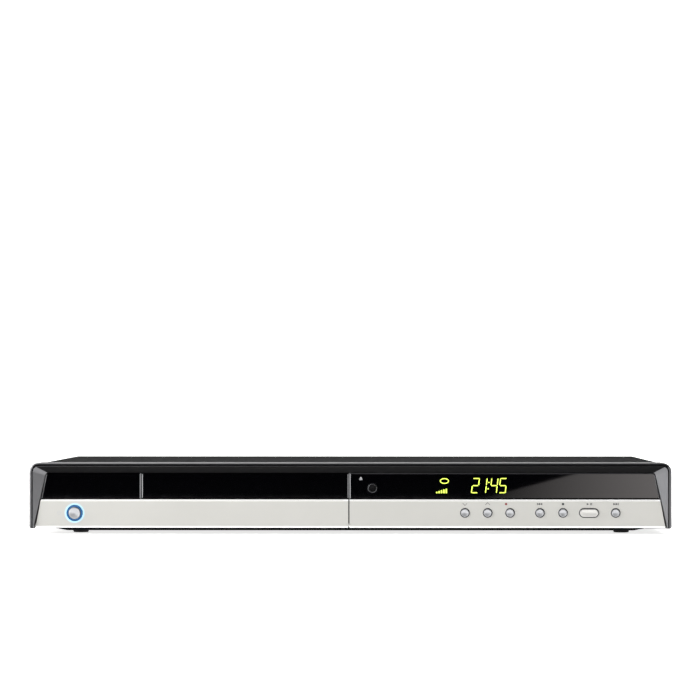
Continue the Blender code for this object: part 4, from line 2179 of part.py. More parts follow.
def main():
    prepare_scene()
    tray_slide = joint_at("tray_slide", DRIVE_X, FRONT_Y, TRAY_BOTTOM)
    flap_hinge = joint_at("flap_hinge", SEAM_X, FRONT_Y + FLAP_AXIS_SETBACK, FLAP_AXIS_Z)
    tray_gear_turn = joint_at("tray_gear_turn", TRAY_GEAR_X, GEAR_Y, LOWER_GEAR_Z)
    belt_gear_turn = joint_at("belt_gear_turn", BELT_GEAR_X, GEAR_Y, LOWER_GEAR_Z)
    motor_pulley_turn = joint_at("motor_pulley_turn", MOTOR_X, GEAR_Y, PULLEY_Z)
    cam_slide = joint_at("cam_slide", DRIVE_X, CAM_Y, DRIVE_FLOOR_TOP)
    traverse_tilt = joint_at("traverse_tilt", DRIVE_X, PIVOT_Y, PIVOT_Z)
    turntable_spin = joint_at("turntable_spin", DRIVE_X, SPINDLE_Y, TURNTABLE_TOP)
    clamper_spin = joint_at("clamper_spin", DRIVE_X, SPINDLE_Y, CLAMPER_BOTTOM)
    sled_slide = joint_at("sled_slide", DRIVE_X, FRONT_Y + SLED_FRONT, ROD_Z)
    lead_screw_turn = joint_at("lead_screw_turn", DRIVE_X + SCREW_X, FRONT_Y + ROD_FRONT, ROD_Z)
    fan_spin = joint_at("fan_spin", FAN_X, REAR_Y, FAN_Z)
    cut_bezel_openings(build_bezel())
    build_fascia(flap_hinge, tray_slide)
    build_buttons()
    build_front_boards()
    build_chassis()
    build_cover()
    build_feet()
    build_rear_panel()
    build_rear_connectors()
    build_boards()
    build_ribbon()
    build_fan(fan_spin)
    build_loader_frame()
    build_tray(tray_slide)
    build_tray_gears(tray_gear_turn, belt_gear_turn, motor_pulley_turn)
    build_tray_motor()
    build_cam_slider(cam_slide)
    build_traverse(traverse_tilt)
    build_spindle(traverse_tilt, turntable_spin, clamper_spin)
    build_pickup(traverse_tilt, sled_slide, lead_screw_turn)


main()
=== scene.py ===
"""Looks of a DVD recorder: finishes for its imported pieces, and the fine pieces that only show up close.

The lights, the pale floor and the camera at the photograph's place are at the end. Everything is in metres
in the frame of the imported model: +X to the viewer's right, +Y to the rear, +Z up.
"""

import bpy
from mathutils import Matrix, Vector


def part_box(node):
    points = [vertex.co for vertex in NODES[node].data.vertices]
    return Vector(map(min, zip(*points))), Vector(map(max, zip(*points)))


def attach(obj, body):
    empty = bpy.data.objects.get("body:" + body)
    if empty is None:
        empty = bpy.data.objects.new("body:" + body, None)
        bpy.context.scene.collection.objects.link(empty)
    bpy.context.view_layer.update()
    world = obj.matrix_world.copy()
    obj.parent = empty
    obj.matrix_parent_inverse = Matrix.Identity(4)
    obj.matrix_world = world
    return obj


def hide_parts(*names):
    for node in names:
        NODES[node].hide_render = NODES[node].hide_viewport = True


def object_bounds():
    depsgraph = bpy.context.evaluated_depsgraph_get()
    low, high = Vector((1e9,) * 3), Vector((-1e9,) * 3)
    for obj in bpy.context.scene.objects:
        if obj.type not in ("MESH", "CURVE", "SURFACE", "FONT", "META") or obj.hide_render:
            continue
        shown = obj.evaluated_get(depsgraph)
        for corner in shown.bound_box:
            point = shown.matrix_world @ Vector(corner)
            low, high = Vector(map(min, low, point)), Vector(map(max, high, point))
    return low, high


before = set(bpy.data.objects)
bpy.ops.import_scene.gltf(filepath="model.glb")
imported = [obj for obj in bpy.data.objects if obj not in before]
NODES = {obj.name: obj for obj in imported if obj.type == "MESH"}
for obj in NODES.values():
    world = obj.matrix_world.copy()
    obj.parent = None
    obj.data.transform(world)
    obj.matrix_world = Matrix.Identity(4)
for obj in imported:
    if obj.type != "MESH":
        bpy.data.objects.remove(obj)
CAD_BOX = [list(corner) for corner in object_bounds()]

import logging
import math
from collections.abc import Callable
from dataclasses import dataclass
from enum import Enum

import bmesh
import bpy
from mathutils import Matrix, Vector

Point = tuple[float, float, float]
Flat = tuple[float, float]
Piece = bpy.types.Object
Shape = bmesh.types.BMesh
Material = bpy.types.Material
Tree = bpy.types.NodeTree
Socket = bpy.types.NodeSocket
LOG = logging.getLogger("recorder")
MM = 0.001
DEGREE = math.pi / 180
FULL_TURN = 2 * math.pi
QUARTER = 90 * DEGREE
THIN = 0.04 * MM  # how far printed marks stand on their surface
TURNED_MAP = "turned"  # UV map that runs round the axis of a turned piece


def linear(code: str) -> tuple[float, float, float, float]:
    """Turns an sRGB hex value into a linear colour.

    Args:
        code: the colour as "#rrggbb".

    Returns:
        Red, green, blue and an alpha of one.
    """
    parts = [int(code[i : i + 2], 16) / 255 for i in (1, 3, 5)]
    red, green, blue = [((v + 0.055) / 1.055) ** 2.4 if v > 0.04045 else v / 12.92 for v in parts]
    return red, green, blue, 1.0


def add_node(tree: Tree, kind: str, inputs: dict | None = None, **settings: object) -> bpy.types.Node:
    """Adds one node, sets it up and links it.

    Args:
        tree: the tree that gets the node.
        kind: the node's type name.
        inputs: socket name or index to a value, or to the output socket that feeds it.
        settings: properties of the node.

    Returns:
        The new node.
    """
    node = tree.nodes.new(kind)
    for key, value in settings.items():
        setattr(node, key, value)
    for key, value in (inputs or {}).items():
        if isinstance(value, Socket):
            tree.links.new(value, node.inputs[key])
        else:
            node.inputs[key].default_value = value
    return node


def blank(name: str) -> tuple[Material, Tree]:
    """Makes a material whose tree is empty."""
    material = bpy.data.materials.new(name)
    material.use_nodes = True
    material.node_tree.nodes.clear()
    return material, material.node_tree


def end(tree: Tree, shader: bpy.types.Node) -> None:
    """Ends a material with its shader."""
    add_node(tree, "ShaderNodeOutputMaterial", {"Surface": shader.outputs[0]})


def coordinate(tree: Tree, kind: str = "Object") -> Socket:
    """The place on the object, or the direction that its face looks in."""
    return add_node(tree, "ShaderNodeTexCoord").outputs[kind]


def split(tree: Tree, kind: str = "Object") -> bpy.types.NodeOutputs:
    """The three parts of a coordinate."""
    return add_node(tree, "ShaderNodeSeparateXYZ", {0: coordinate(tree, kind)}).outputs


def reckon(tree: Tree, operation: str, *values: Socket | float) -> Socket:
    """The result of one Math node."""
    return add_node(tree, "ShaderNodeMath", dict(enumerate(values)), operation=operation).outputs[0]


def remap(
    tree: Tree, value: Socket, start: float, stop: float, low: float = 0.0, high: float = 1.0, kind: str = "LINEAR"
) -> Socket:
    """Maps the values from start to stop onto those from low to high, and clamps them there."""
    inputs = {"Value": value, "From Min": start, "From Max": stop, "To Min": low, "To Max": high}
    return add_node(tree, "ShaderNodeMapRange", inputs, interpolation_type=kind).outputs[0]


def blend(tree: Tree, share: Socket, first: Socket | Point, second: Socket | Point) -> Socket:
    """Mixes two colours: all first where the share is zero, all second where it is one."""
    return add_node(tree, "ShaderNodeMix", {0: share, 6: first, 7: second}, data_type="RGBA").outputs[2]


@dataclass(frozen=True)
class Finish:
    """A surface, named for its material and the way its face was made.

    Sizes of grain are in millimetres. The stretch makes the grain shorter along an axis where it is larger.
    The rim is a painted highlight: a lighter colour on faces that turn up or down, as on a rounded upper or lower
    edge.
    """

    name: str
    colour: str
    roughness: float
    metallic: float = 0.0
    gloss: float = 0.5
    grain: float = 0.5
    grain_height: float = 0.0
    stretch: Point = (1.0, 1.0, 1.0)
    shade: str = ""
    shade_share: float = 0.5
    patch: float = 20.0
    uneven: float = 0.05
    anisotropy: float = 0.0
    light: float = 0.0
    turned: bool = False
    rim: str = ""

    def make(self) -> Material:
        """Builds the material, or finds it where it has been built already."""
        known = bpy.data.materials.get(self.name)
        if known:
            return known
        material, tree = blank(self.name)
        place = coordinate(tree)
        fine = self.noise(tree, place, self.grain)
        floor, ceiling = max(self.roughness - self.uneven, 0.02), min(self.roughness + self.uneven, 1.0)
        linked = {"Roughness": remap(tree, fine, 0.25, 0.75, floor, ceiling)}
        if self.shade:
            share = remap(tree, self.noise(tree, place, self.patch), 0.3, 0.7, high=self.shade_share)
            linked["Base Color"] = blend(tree, share, linear(self.colour), linear(self.shade))
        # Faces that turn up or down take the rim colour: a painted highlight.
        if self.rim:
            painted_highlight_tilt = reckon(tree, "ABSOLUTE", split(tree, "Normal")[2])
            share = remap(tree, painted_highlight_tilt, 0.25, 0.55)
            linked["Base Color"] = blend(tree, share, linked["Base Color"], linear(self.rim))
        if self.grain_height > 0:
            bump = {"Height": fine, "Distance": self.grain_height * MM, "Strength": 0.6}
            linked["Normal"] = add_node(tree, "ShaderNodeBump", bump).outputs[0]
        if self.turned:
            along = add_node(tree, "ShaderNodeTangent", direction_type="UV_MAP", uv_map=TURNED_MAP)
            linked["Tangent"] = along.outputs[0]
        plain = {
            "Base Color": linear(self.colour),
            "Metallic": self.metallic,
            "Roughness": self.roughness,
            "Specular IOR Level": self.gloss,
            "Anisotropic": self.anisotropy,
            "Anisotropic Rotation": 0.25 if self.turned else 0.0,
        }
        if self.light > 0:
            plain |= {"Emission Color": linear(self.colour), "Emission Strength": self.light}
        shader = add_node(tree, "ShaderNodeBsdfPrincipled", plain)
        for name, socket in linked.items():
            tree.links.new(socket, shader.inputs[name])
        end(tree, shader)
        return material

    def noise(self, tree: Tree, place: Socket, size: float) -> Socket:
        """Adds a noise whose spots are about this many millimetres across.

        Args:
            tree: the material's tree.
            place: the object coordinates.
            size: size of a spot, in millimetres.

        Returns:
            The noise's value.
        """
        moved = add_node(tree, "ShaderNodeMapping", {"Vector": place, "Scale": self.stretch}).outputs[0]
        spots = {"Vector": moved, "Scale": 1 / (size * MM), "Detail": 3.0}
        return add_node(tree, "ShaderNodeTexNoise", spots).outputs[0]


# Moulded ABS with a fine spark-eroded grain: dull, but it still catches a soft light along its edges. On the frame
# it also takes a graphite lacquer and a painted highlight.
BEZEL_ABS = Finish("satin_black_abs_moulded", "#09090a", 0.42, gloss=0.075, grain=0.35, grain_height=0.012,
                   uneven=0.06, shade="#070708", patch=30.0)
# Lacquered ABS with a fine metal flake: pale, a little warm, with flakes too fine to see singly. Its rounded upper
# and lower edges are painted white as a highlight.
SILVER_LACQUER = Finish("satin_silver_lacquer_sprayed", "#aeada9", 0.36, metallic=0.1, gloss=0.4, grain=0.25,
                        grain_height=0.003, uneven=0.07, shade="#a7a6a2", patch=45.0, rim="#ffffff")
# Acrylic over black: a mirror-smooth face with no colour of its own.
WINDOW_ACRYLIC = Finish("black_acrylic_polished", "#020203", 0.025, grain=8.0, uneven=0.005)
# Its lower edge, flamed but not polished, which stays dark.
WINDOW_DARK_EDGE = Finish("black_acrylic_flamed_edge", "#020203", 0.3, gloss=0.04, grain=0.6)
# The upper chamfer of the display's window: a thin dark grey painted highlight under the brow.
WINDOW_TOP_HIGHLIGHT = Finish("black_acrylic_sawn_edge", "#39393b", 0.4, gloss=0.3, grain=0.4, uneven=0.08)
# The side chamfers of the same sheet, pale grey with a little metal in it: a painted highlight.
WINDOW_SIDE_HIGHLIGHT = Finish("black_acrylic_milled_edge", "#8e8e90", 0.3, metallic=0.3, grain=0.4, uneven=0.08)
# Aluminium turned on a lathe: fine rings that stretch each highlight across them.
SPUN_ALUMINIUM = Finish("aluminium_spun", "#b0b1b4", 0.36, metallic=1.0, grain=0.3, anisotropy=0.7, turned=True)
# The same metal blasted and anodised: an even satin.
SATIN_ALUMINIUM = Finish("aluminium_anodised_satin", "#c9c8c5", 0.38, metallic=1.0, grain=0.25, uneven=0.06)
# Plastic plated with dark nickel: it mirrors the room a few shades down, round the silver panel's buttons.
COLLAR_GREY = Finish("dark_nickel_plated", "#58595b", 0.2, metallic=1.0, grain=1.0, uneven=0.04)
# The same plating as a thin dark ring in the black window.
COLLAR_DARK = Finish("black_nickel_plated", "#5f6062", 0.25, metallic=1.0, grain=1.0, uneven=0.04)
# Moulded light guide with a blue lamp behind it: deep blue, unevenly lit.
BLUE_GUIDE = Finish("blue_light_guide_moulded", "#165080", 0.25, light=0.12, grain=0.8, shade="#0d3f6b",
                    patch=2.0)
# Steel sheet with a powder coat: an orange-peel skin, about half a millimetre from hill to hill.
COVER_POWDER = Finish("dark_powder_coat_baked", "#111112", 0.8, gloss=0.012, grain=0.6, grain_height=0.02,
                      uneven=0.08, shade="#0e0e0f", patch=12.0)
# The base in a coat like the cover's, near black: the black is painted shade for the dark band under the fascia.
BASE_PAINTED_SHADE = Finish("black_powder_coat_baked", "#131314", 0.7, gloss=0.08, grain=0.6, grain_height=0.02,
                     uneven=0.08, shade="#0e0e0f", patch=12.0)
# Steel sheet as it comes from the mill with a zinc coat: faint crystals a few millimetres across.
ZINC_SHEET = Finish("zinc_steel_rolled", "#a7aaad", 0.34, metallic=1.0, grain=1.2, uneven=0.1, shade="#8f9296",
                    shade_share=0.8, patch=5.0)
# Ground rods and screws: a clear shine with fine scratches along them.
BARE_STEEL = Finish("steel_ground", "#b9bbbe", 0.22, metallic=1.0, grain=0.2, uneven=0.06,
                    stretch=(1.0, 0.05, 1.0))
# Moulded rubber: almost no shine, with a faint bloom.
FOOT_RUBBER = Finish("black_rubber_moulded", "#1b1b1c", 0.85, gloss=0.3, grain=0.3, grain_height=0.03, uneven=0.08)
# Green mask screened over copper: the traces under it show as paler patches.
SOLDER_MASK = Finish("green_solder_mask_screened", "#235a31", 0.4, grain=0.8, grain_height=0.02, uneven=0.1,
                     shade="#2f7040", shade_share=0.9, patch=3.0)
# Drawn glass over dark electrodes: a sharp shine on near black.
TUBE_GLASS = Finish("display_tube_glass_drawn", "#10130d", 0.08, grain=3.0, uneven=0.02)
# Moulded nylon for sockets and frames: black with a soft, slightly blotched shine.
BLACK_NYLON = Finish("black_nylon_moulded", "#171718", 0.5, gloss=0.4, grain_height=0.015, uneven=0.08,
                     shade="#202022", patch=15.0)
# Uncoloured acetal for gears: milky white with a waxy shine.
NATURAL_ACETAL = Finish("natural_acetal_moulded", "#e4e1d6", 0.38, gloss=0.45, grain=0.6, grain_height=0.006,
                        uneven=0.06, shade="#d8d4c6", patch=10.0)
# Tape wound round the transformer: amber, in bands one above the other.
AMBER_TAPE = Finish("polyester_tape_wound", "#b98a3c", 0.32, uneven=0.08, shade="#a3722a", shade_share=0.8,
                    patch=2.5, stretch=(1.0, 1.0, 5.0))
# Pressed ferrite: dark grey and gritty.
FERRITE = Finish("ferrite_pressed", "#3b3a3c", 0.55, gloss=0.4, grain=0.25, grain_height=0.02, uneven=0.1)
# Flat cable: pale cores side by side, with greyer lines between them.
RIBBON_VINYL = Finish("ribbon_cable_extruded", "#cfcfca", 0.4, stretch=(4.0, 0.1, 0.1), shade="#9fa0a0",
                      shade_share=0.9, patch=0.5)
# Sleeve shrunk onto a capacitor: dark blue with a smooth shine.
SLEEVE = Finish("capacitor_sleeve_shrunk", "#22304f", 0.35, grain=0.8, uneven=0.06, shade="#1b2742", patch=4.0)
# Moulded epoxy of chips: charcoal with a very fine grain.
CHIP_EPOXY = Finish("chip_epoxy_moulded", "#1d1d1f", 0.6, grain=0.2, grain_height=0.01, uneven=0.06)
# Tin on copper contacts and sleeves: a bright, slightly cloudy shine.
TINNED = Finish("tinned_copper_dipped", "#c6c6c2", 0.25, metallic=1.0, grain=0.3, uneven=0.08)
# Gilt on the aerial pins: warm and bright.
BRASS_PLATE = Finish("gilt_brass_plated", "#c9a558", 0.25, metallic=1.0, grain=0.4, uneven=0.06)
# Screen ink of the signs: flat and even. Pale ink is on the black window and left of the power button.
PRINT_GREY, PRINT_PALE, PRINT_RED = (
    Finish(name + "_ink_printed", colour, 0.5, grain=0.2)
    for name, colour in (("grey", "#2c2d2f"), ("pale", "#a4a5a7"), ("red", "#6e1519"))
)
# The eject button's cap: black, so that only its collar shows.
CAP_BLACK = Finish("black_abs_polished", "#070708", 0.3, gloss=0.08, grain=0.6)
# Phosphor that glows yellow-green, a little unevenly.
LIT_SEGMENT = Finish("phosphor_lit", "#d4ee55", 0.4, light=0.75, shade="#bfe04a", patch=2.0)
# Coloured inserts that tell the round jacks apart, from the first jack to the last: a plain moulded shine.
JACK_INSERTS = tuple(
    Finish(name + "_insert_moulded", colour, 0.4)
    for name, colour in (("yellow", "#d8b21c"), ("white", "#e6e6e2"), ("red", "#b3261e"), ("orange", "#cc6a1c"))
)
# The pickup's lens: a blue coating over clear glass.
LENS_GLASS = Finish("pickup_lens_coated", "#23304a", 0.03, gloss=1.0, metallic=0.2, grain=2.0, uneven=0.01)
# The studio's floor, and the flag that keeps reflections black.
BACKDROP_PAPER = Finish("white_backdrop_paper", "#f6f6f5", 0.9, gloss=0.1, grain=2.0, light=0.85)
BLACK_VELVET = Finish("black_velvet_woven", "#000000", 1.0, gloss=0.0, uneven=0.01)


def piece_of(name: str, mesh: bpy.types.Mesh) -> Piece:
    """Puts a mesh into the scene as an object at the origin."""
    made = bpy.data.objects.new(name, mesh)
    bpy.context.scene.collection.objects.link(made)
    return made


def dress(piece: Piece, body: str, finish: Finish, slot: str, *stands_for: str) -> None:
    """Gives a new piece its finish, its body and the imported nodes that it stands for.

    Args:
        piece: the new piece, in its place.
        body: the body that carries it.
        finish: its surface, unless it has its own already.
        slot: the record's material slot; not used.
        stands_for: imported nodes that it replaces.
    """
    if not piece.data.materials:
        piece.data.materials.append(finish.make())
    piece.data.shade_smooth()
    piece.data.set_sharp_from_angle(angle=35 * DEGREE)
    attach(piece, body)
    if stands_for:
        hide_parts(*stands_for)
    LOG.info("%s rides on %s", piece.name, body)


def coat(finish: Finish, *names: str) -> None:
    """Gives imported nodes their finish."""
    for name in names:
        paint(name, finish.make())


def paint(name: str, material: Material) -> None:
    """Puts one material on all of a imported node."""
    node = NODES[name]
    if not node.data.materials:
        node.data.materials.append(material)
    for slot in node.material_slots:
        slot.material = material


def vertices(name: str) -> list[Vector]:
    """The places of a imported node's vertices."""
    return [v.co for v in NODES[name].data.vertices]


def middle(name: str) -> Vector:
    """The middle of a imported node's box."""
    low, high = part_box(name)
    return (low + high) / 2


def from_bmesh(name: str, shape: Shape) -> Piece:
    """Ends a bmesh as an object with its faces turned outwards."""
    bmesh.ops.recalc_face_normals(shape, faces=shape.faces)
    mesh = bpy.data.meshes.new(name)
    shape.to_mesh(mesh)
    shape.free()
    return piece_of(name, mesh)


def settle(piece: Piece) -> None:
    """Keeps what a piece's modifiers make as its plain mesh, and removes them."""
    bpy.context.view_layer.update()
    graph = bpy.context.evaluated_depsgraph_get()
    mesh = bpy.data.meshes.new_from_object(piece.evaluated_get(graph))
    piece.modifiers.clear()
    piece.data = mesh
    mesh.name = piece.name


def carve(piece: Piece, cutter: Piece) -> None:
    """Cuts a cutter out of a piece and removes it."""
    step = piece.modifiers.new("carve", "BOOLEAN")
    step.object = cutter
    step.use_self = True
    settle(piece)
    bpy.data.objects.remove(cutter)


def add_ring_solid(shape: Shape, rings: list[list[Point]], closed: bool = False) -> None:
    """Adds a solid skinned over rings of equally many points.

    Args:
        shape: the bmesh that gets it.
        rings: the rings in order; each is a closed loop.
        closed: whether the last ring joins the first; otherwise both get a cap.
    """
    loops = [[shape.verts.new(p) for p in ring] for ring in rings]
    pairs = list(zip(loops, loops[1:])) + ([(loops[-1], loops[0])] if closed else [])
    for near, far in pairs:
        for i in range(len(near)):
            j = (i + 1) % len(near)
            shape.faces.new((near[i], near[j], far[j], far[i]))
    if not closed:
        shape.faces.new(loops[0])
        shape.faces.new(list(reversed(loops[-1])))


def upright(outline: list[Flat], y: float) -> list[Point]:
    """Sets an (x, z) outline at one value of y."""
    return [(x, y, z) for x, z in outline]


def add_prism(shape: Shape, outline: list[Flat], front: float, back: float, edge: float = 0.0) -> None:
    """Adds an upright prism from an (x, z) outline, between two values of y.

    Args:
        shape: the bmesh that gets it.
        outline: corners, in order, of a convex or nearly convex shape.
        front: y of the front face.
        back: y of the back face.
        edge: width of a chamfer round the front face.
    """
    rings = [upright(outline, back), upright(outline, front + edge)]
    if edge > 0:
        rings.append(upright(inset(outline, edge), front))
    add_ring_solid(shape, rings)


def inset(outline: list[Flat], width: float) -> list[Flat]:
    """Moves each side of an outline inwards by a width, whichever way round it runs."""
    area = sum(a[0] * b[1] - b[0] * a[1] for a, b in zip(outline, outline[1:] + outline[:1]))
    turn = 1 if area > 0 else -1
    moved = []
    for i, here in enumerate(outline):
        before, after = Vector(outline[i - 1]), Vector(outline[(i + 1) % len(outline)])
        point = Vector(here)
        one, two = (point - before).normalized(), (after - point).normalized()
        normal_one, normal_two = Vector((-one.y, one.x)) * turn, Vector((-two.y, two.x)) * turn
        share = (normal_one + normal_two) / max(1 + normal_one.dot(normal_two), 0.2)
        moved.append((point.x + share.x * width, point.y + share.y * width))
    return moved


def circle(x: float, z: float, radius: float, steps: int = 32, height: float = 0.0) -> list[Flat]:
    """Points round a circle, or round an ellipse where a second radius is given."""
    tall = height or radius
    angles = [FULL_TURN * i / steps for i in range(steps)]
    return [(x + radius * math.cos(angle), z + tall * math.sin(angle)) for angle in angles]


def oval(x: float, z: float, reach: float, radius: float, steps: int = 40) -> list[Flat]:
    """A loop with round ends about two points, this far left and right of the middle."""
    points = []
    for i in range(steps):
        angle = FULL_TURN * (i + 0.5) / steps
        side = reach if math.cos(angle) > 0 else -reach
        points.append((x + side + radius * math.cos(angle), z + radius * math.sin(angle)))
    return points


def add_tube_ring(shape: Shape, outer: list[Flat], inner: list[Flat], face_y: float) -> None:
    """Adds a flat printed ring between two (x, z) loops of equally many points."""
    front, back = face_y - THIN, face_y + THIN
    rings = [upright(inner, back), upright(outer, back), upright(outer, front), upright(inner, front)]
    add_ring_solid(shape, rings, closed=True)


def add_turned(shape: Shape, profile: list[Flat], at: Point, axis: str, steps: int) -> None:
    """Turns a profile of (radius, height) points about an axis, as a solid.

    Args:
        shape: the bmesh that gets it.
        profile: points from one end of the axis to the other; both ends are on the axis, or it is a ring.
        at: where the height is zero.
        axis: X, Y or Z, the direction of growing height.
        steps: how many facets round.
    """
    turns = {
        "X": Matrix.Rotation(QUARTER, 4, "Y"),
        "Y": Matrix.Rotation(-QUARTER, 4, "X"),
        "Z": Matrix.Identity(4),
    }
    place = Matrix.Translation(at) @ turns[axis]
    angles = [FULL_TURN * i / steps for i in range(steps)]
    rows = []
    for radius, height in profile:
        around = angles if radius > 0 else angles[:1]
        spots = [(radius * math.cos(angle), radius * math.sin(angle), height) for angle in around]
        rows.append([shape.verts.new(place @ Vector(spot)) for spot in spots])
    ring_shaped = profile[0][0] > 0 and profile[-1][0] > 0
    pairs = list(zip(rows, rows[1:])) + ([(rows[-1], rows[0])] if ring_shaped else [])
    for near, far in pairs:
        for i in range(steps):
            j = (i + 1) % steps
            corners = [near[i % len(near)], near[j % len(near)], far[j % len(far)], far[i % len(far)]]
            distinct = list(dict.fromkeys(corners))
            if len(distinct) > 2:
                shape.faces.new(distinct)


def lathe(name: str, profile: list[Flat], at: Point, axis: str, steps: int) -> Piece:
    """Makes a piece of one turned solid, with the same rules as add_turned."""
    shape = bmesh.new()
    add_turned(shape, profile, at, axis, steps)
    return from_bmesh(name, shape)


def add_block(shape: Shape, low: Point, high: Point, edge: float = 0.0) -> None:
    """Adds a block between two corners, with its edges rounded where a width is given."""
    size = Vector(high) - Vector(low)
    place = Matrix.Translation((Vector(high) + Vector(low)) / 2) @ Matrix.Diagonal((*size, 1))
    corners = bmesh.ops.create_cube(shape, size=1, matrix=place)["verts"]
    if edge > 0:
        edges = list({e for v in corners for e in v.link_edges})
        bmesh.ops.bevel(shape, geom=edges, offset=edge, segments=2, profile=0.5, affect="EDGES")


def add_print(
    name: str, body: str, finish: Finish, slot: str, face_y: float, outlines: list, shape: Shape | None = None
) -> None:
    """Prints flat (x, z) outlines on an upright face.

    Args:
        name: the print's name.
        body: the body that carries it.
        finish: its ink or light.
        slot: the record's material slot.
        face_y: y of the face.
        outlines: the outlines, each filled.
        shape: what is part of the same print already.
    """
    shape = shape or bmesh.new()
    for outline in outlines:
        add_prism(shape, outline, face_y - THIN, face_y + THIN)
    dress(from_bmesh(name, shape), body, finish, slot)


def run_rule(
    piece: Piece, given: dict[str, tuple[str, object]], grow: Callable[[Tree, bpy.types.NodeOutputs], Socket],
    finish: Finish,
) -> Piece:
    """Grows a piece by one Geometry Nodes tree, and keeps its result as a plain mesh.

    Args:
        piece: the object that the tree runs on.
        given: each input of the tree, as the kind of its socket and its value; None is the piece's own mesh.
        grow: adds the nodes in the middle of the tree, and returns the instances.
        finish: the surface of every instance.

    Returns:
        The piece.
    """
    tree = bpy.data.node_groups.new(piece.name + "_rule", "GeometryNodeTree")
    given = given | {"Surface": ("Material", finish.make())}
    ids = {
        name: tree.interface.new_socket(name, in_out="INPUT", socket_type="NodeSocket" + kind).identifier
        for name, (kind, _) in given.items()
    }
    tree.interface.new_socket("Geometry", in_out="OUTPUT", socket_type="NodeSocketGeometry")
    inputs = add_node(tree, "NodeGroupInput").outputs
    real = add_node(tree, "GeometryNodeRealizeInstances", {0: grow(tree, inputs)}).outputs[0]
    painted = add_node(tree, "GeometryNodeSetMaterial", {"Geometry": real, "Material": inputs["Surface"]})
    add_node(tree, "NodeGroupOutput", {0: painted.outputs[0]})
    rule = piece.modifiers.new("rule", "NODES")
    rule.node_group = tree
    for name, (_, value) in given.items():
        if value is not None:
            rule[ids[name]] = value
    settle(piece)
    return piece


class Unit(Enum):
    """The shape that a row repeats."""

    BLOCK = "block"
    ROD = "rod"


@dataclass(frozen=True)
class Row:
    """Equal blocks or rods on a grid, or round a ring.

    For a block, size is its three lengths. For a rod, it is the radius twice and then the length.
    """

    name: str
    unit: Unit
    size: Point
    centre: Point
    count: tuple[int, int] = (1, 1)
    pitch: Flat = (0.0, 0.0)
    turn: Point = (0.0, 0.0, 0.0)
    ring: float = 0.0

    def place(self, body: str, finish: Finish, slot: str) -> None:
        """Makes the row as one piece, and dresses it."""
        given = {
            "Across": ("Int", self.count[0]),
            "Along": ("Int", self.count[1]),
            "Width": ("Float", self.pitch[0] * (self.count[0] - 1)),
            "Length": ("Float", self.pitch[1] * (self.count[1] - 1)),
            "Size": ("Vector", self.size),
            "Centre": ("Vector", self.centre),
            "Turn": ("Vector", self.turn),
            "Ring": ("Float", self.ring),
        }
        piece = piece_of(self.name, bpy.data.meshes.new(self.name))
        dress(run_rule(piece, given, self.grow, finish), body, finish, slot)

    def grow(self, tree: Tree, given: bpy.types.NodeOutputs) -> Socket:
        """Sets the unit on the points of a grid or ring, and moves them all into place."""
        if self.ring > 0:
            sizes = {"Vertices": given["Across"], "Radius": given["Ring"]}
            spots = add_node(tree, "GeometryNodeMeshCircle", sizes)
        else:
            sizes = {
                "Size X": given["Width"], "Size Y": given["Length"],
                "Vertices X": given["Across"], "Vertices Y": given["Along"],
            }
            spots = add_node(tree, "GeometryNodeMeshGrid", sizes)
        if self.unit is Unit.BLOCK:
            unit = add_node(tree, "GeometryNodeMeshCube", {"Size": given["Size"]})
        else:
            parts = add_node(tree, "ShaderNodeSeparateXYZ", {0: given["Size"]}).outputs
            sizes = {"Vertices": 16, "Radius": parts[0], "Depth": parts[2]}
            unit = add_node(tree, "GeometryNodeMeshCylinder", sizes)
        copied = {"Points": spots.outputs[0], "Instance": unit.outputs[0]}
        if self.ring > 0:
            place = add_node(tree, "GeometryNodeInputPosition").outputs[0]
            facing = add_node(tree, "FunctionNodeAlignRotationToVector", {"Vector": place}, axis="X")
            copied["Rotation"] = facing.outputs[0]
        copies = add_node(tree, "GeometryNodeInstanceOnPoints", copied).outputs[0]
        moved = {"Geometry": copies, "Translation": given["Centre"], "Rotation": given["Turn"]}
        return add_node(tree, "GeometryNodeTransform", moved).outputs[0]


def carve_cross(head: Piece, at: Point, axis: int, reach: float, width: float, depth: float) -> None:
    """Cuts the cross for a screwdriver into a screw's head.

    Args:
        head: the screw.
        at: the middle of the head's face.
        axis: the axis along the screw; 0 is X and 2 is Z.
        reach: half the length of each arm.
        width: width of each arm.
        depth: how deep it goes.
    """
    cutter = bmesh.new()
    for wide, tall in ((reach, width / 2), (width / 2, reach)):
        half = [wide, tall]
        half.insert(axis, depth)
        add_block(cutter, Vector(at) - Vector(half), Vector(at) + Vector(half))
    carve(head, from_bmesh(head.name + "_cross", cutter))


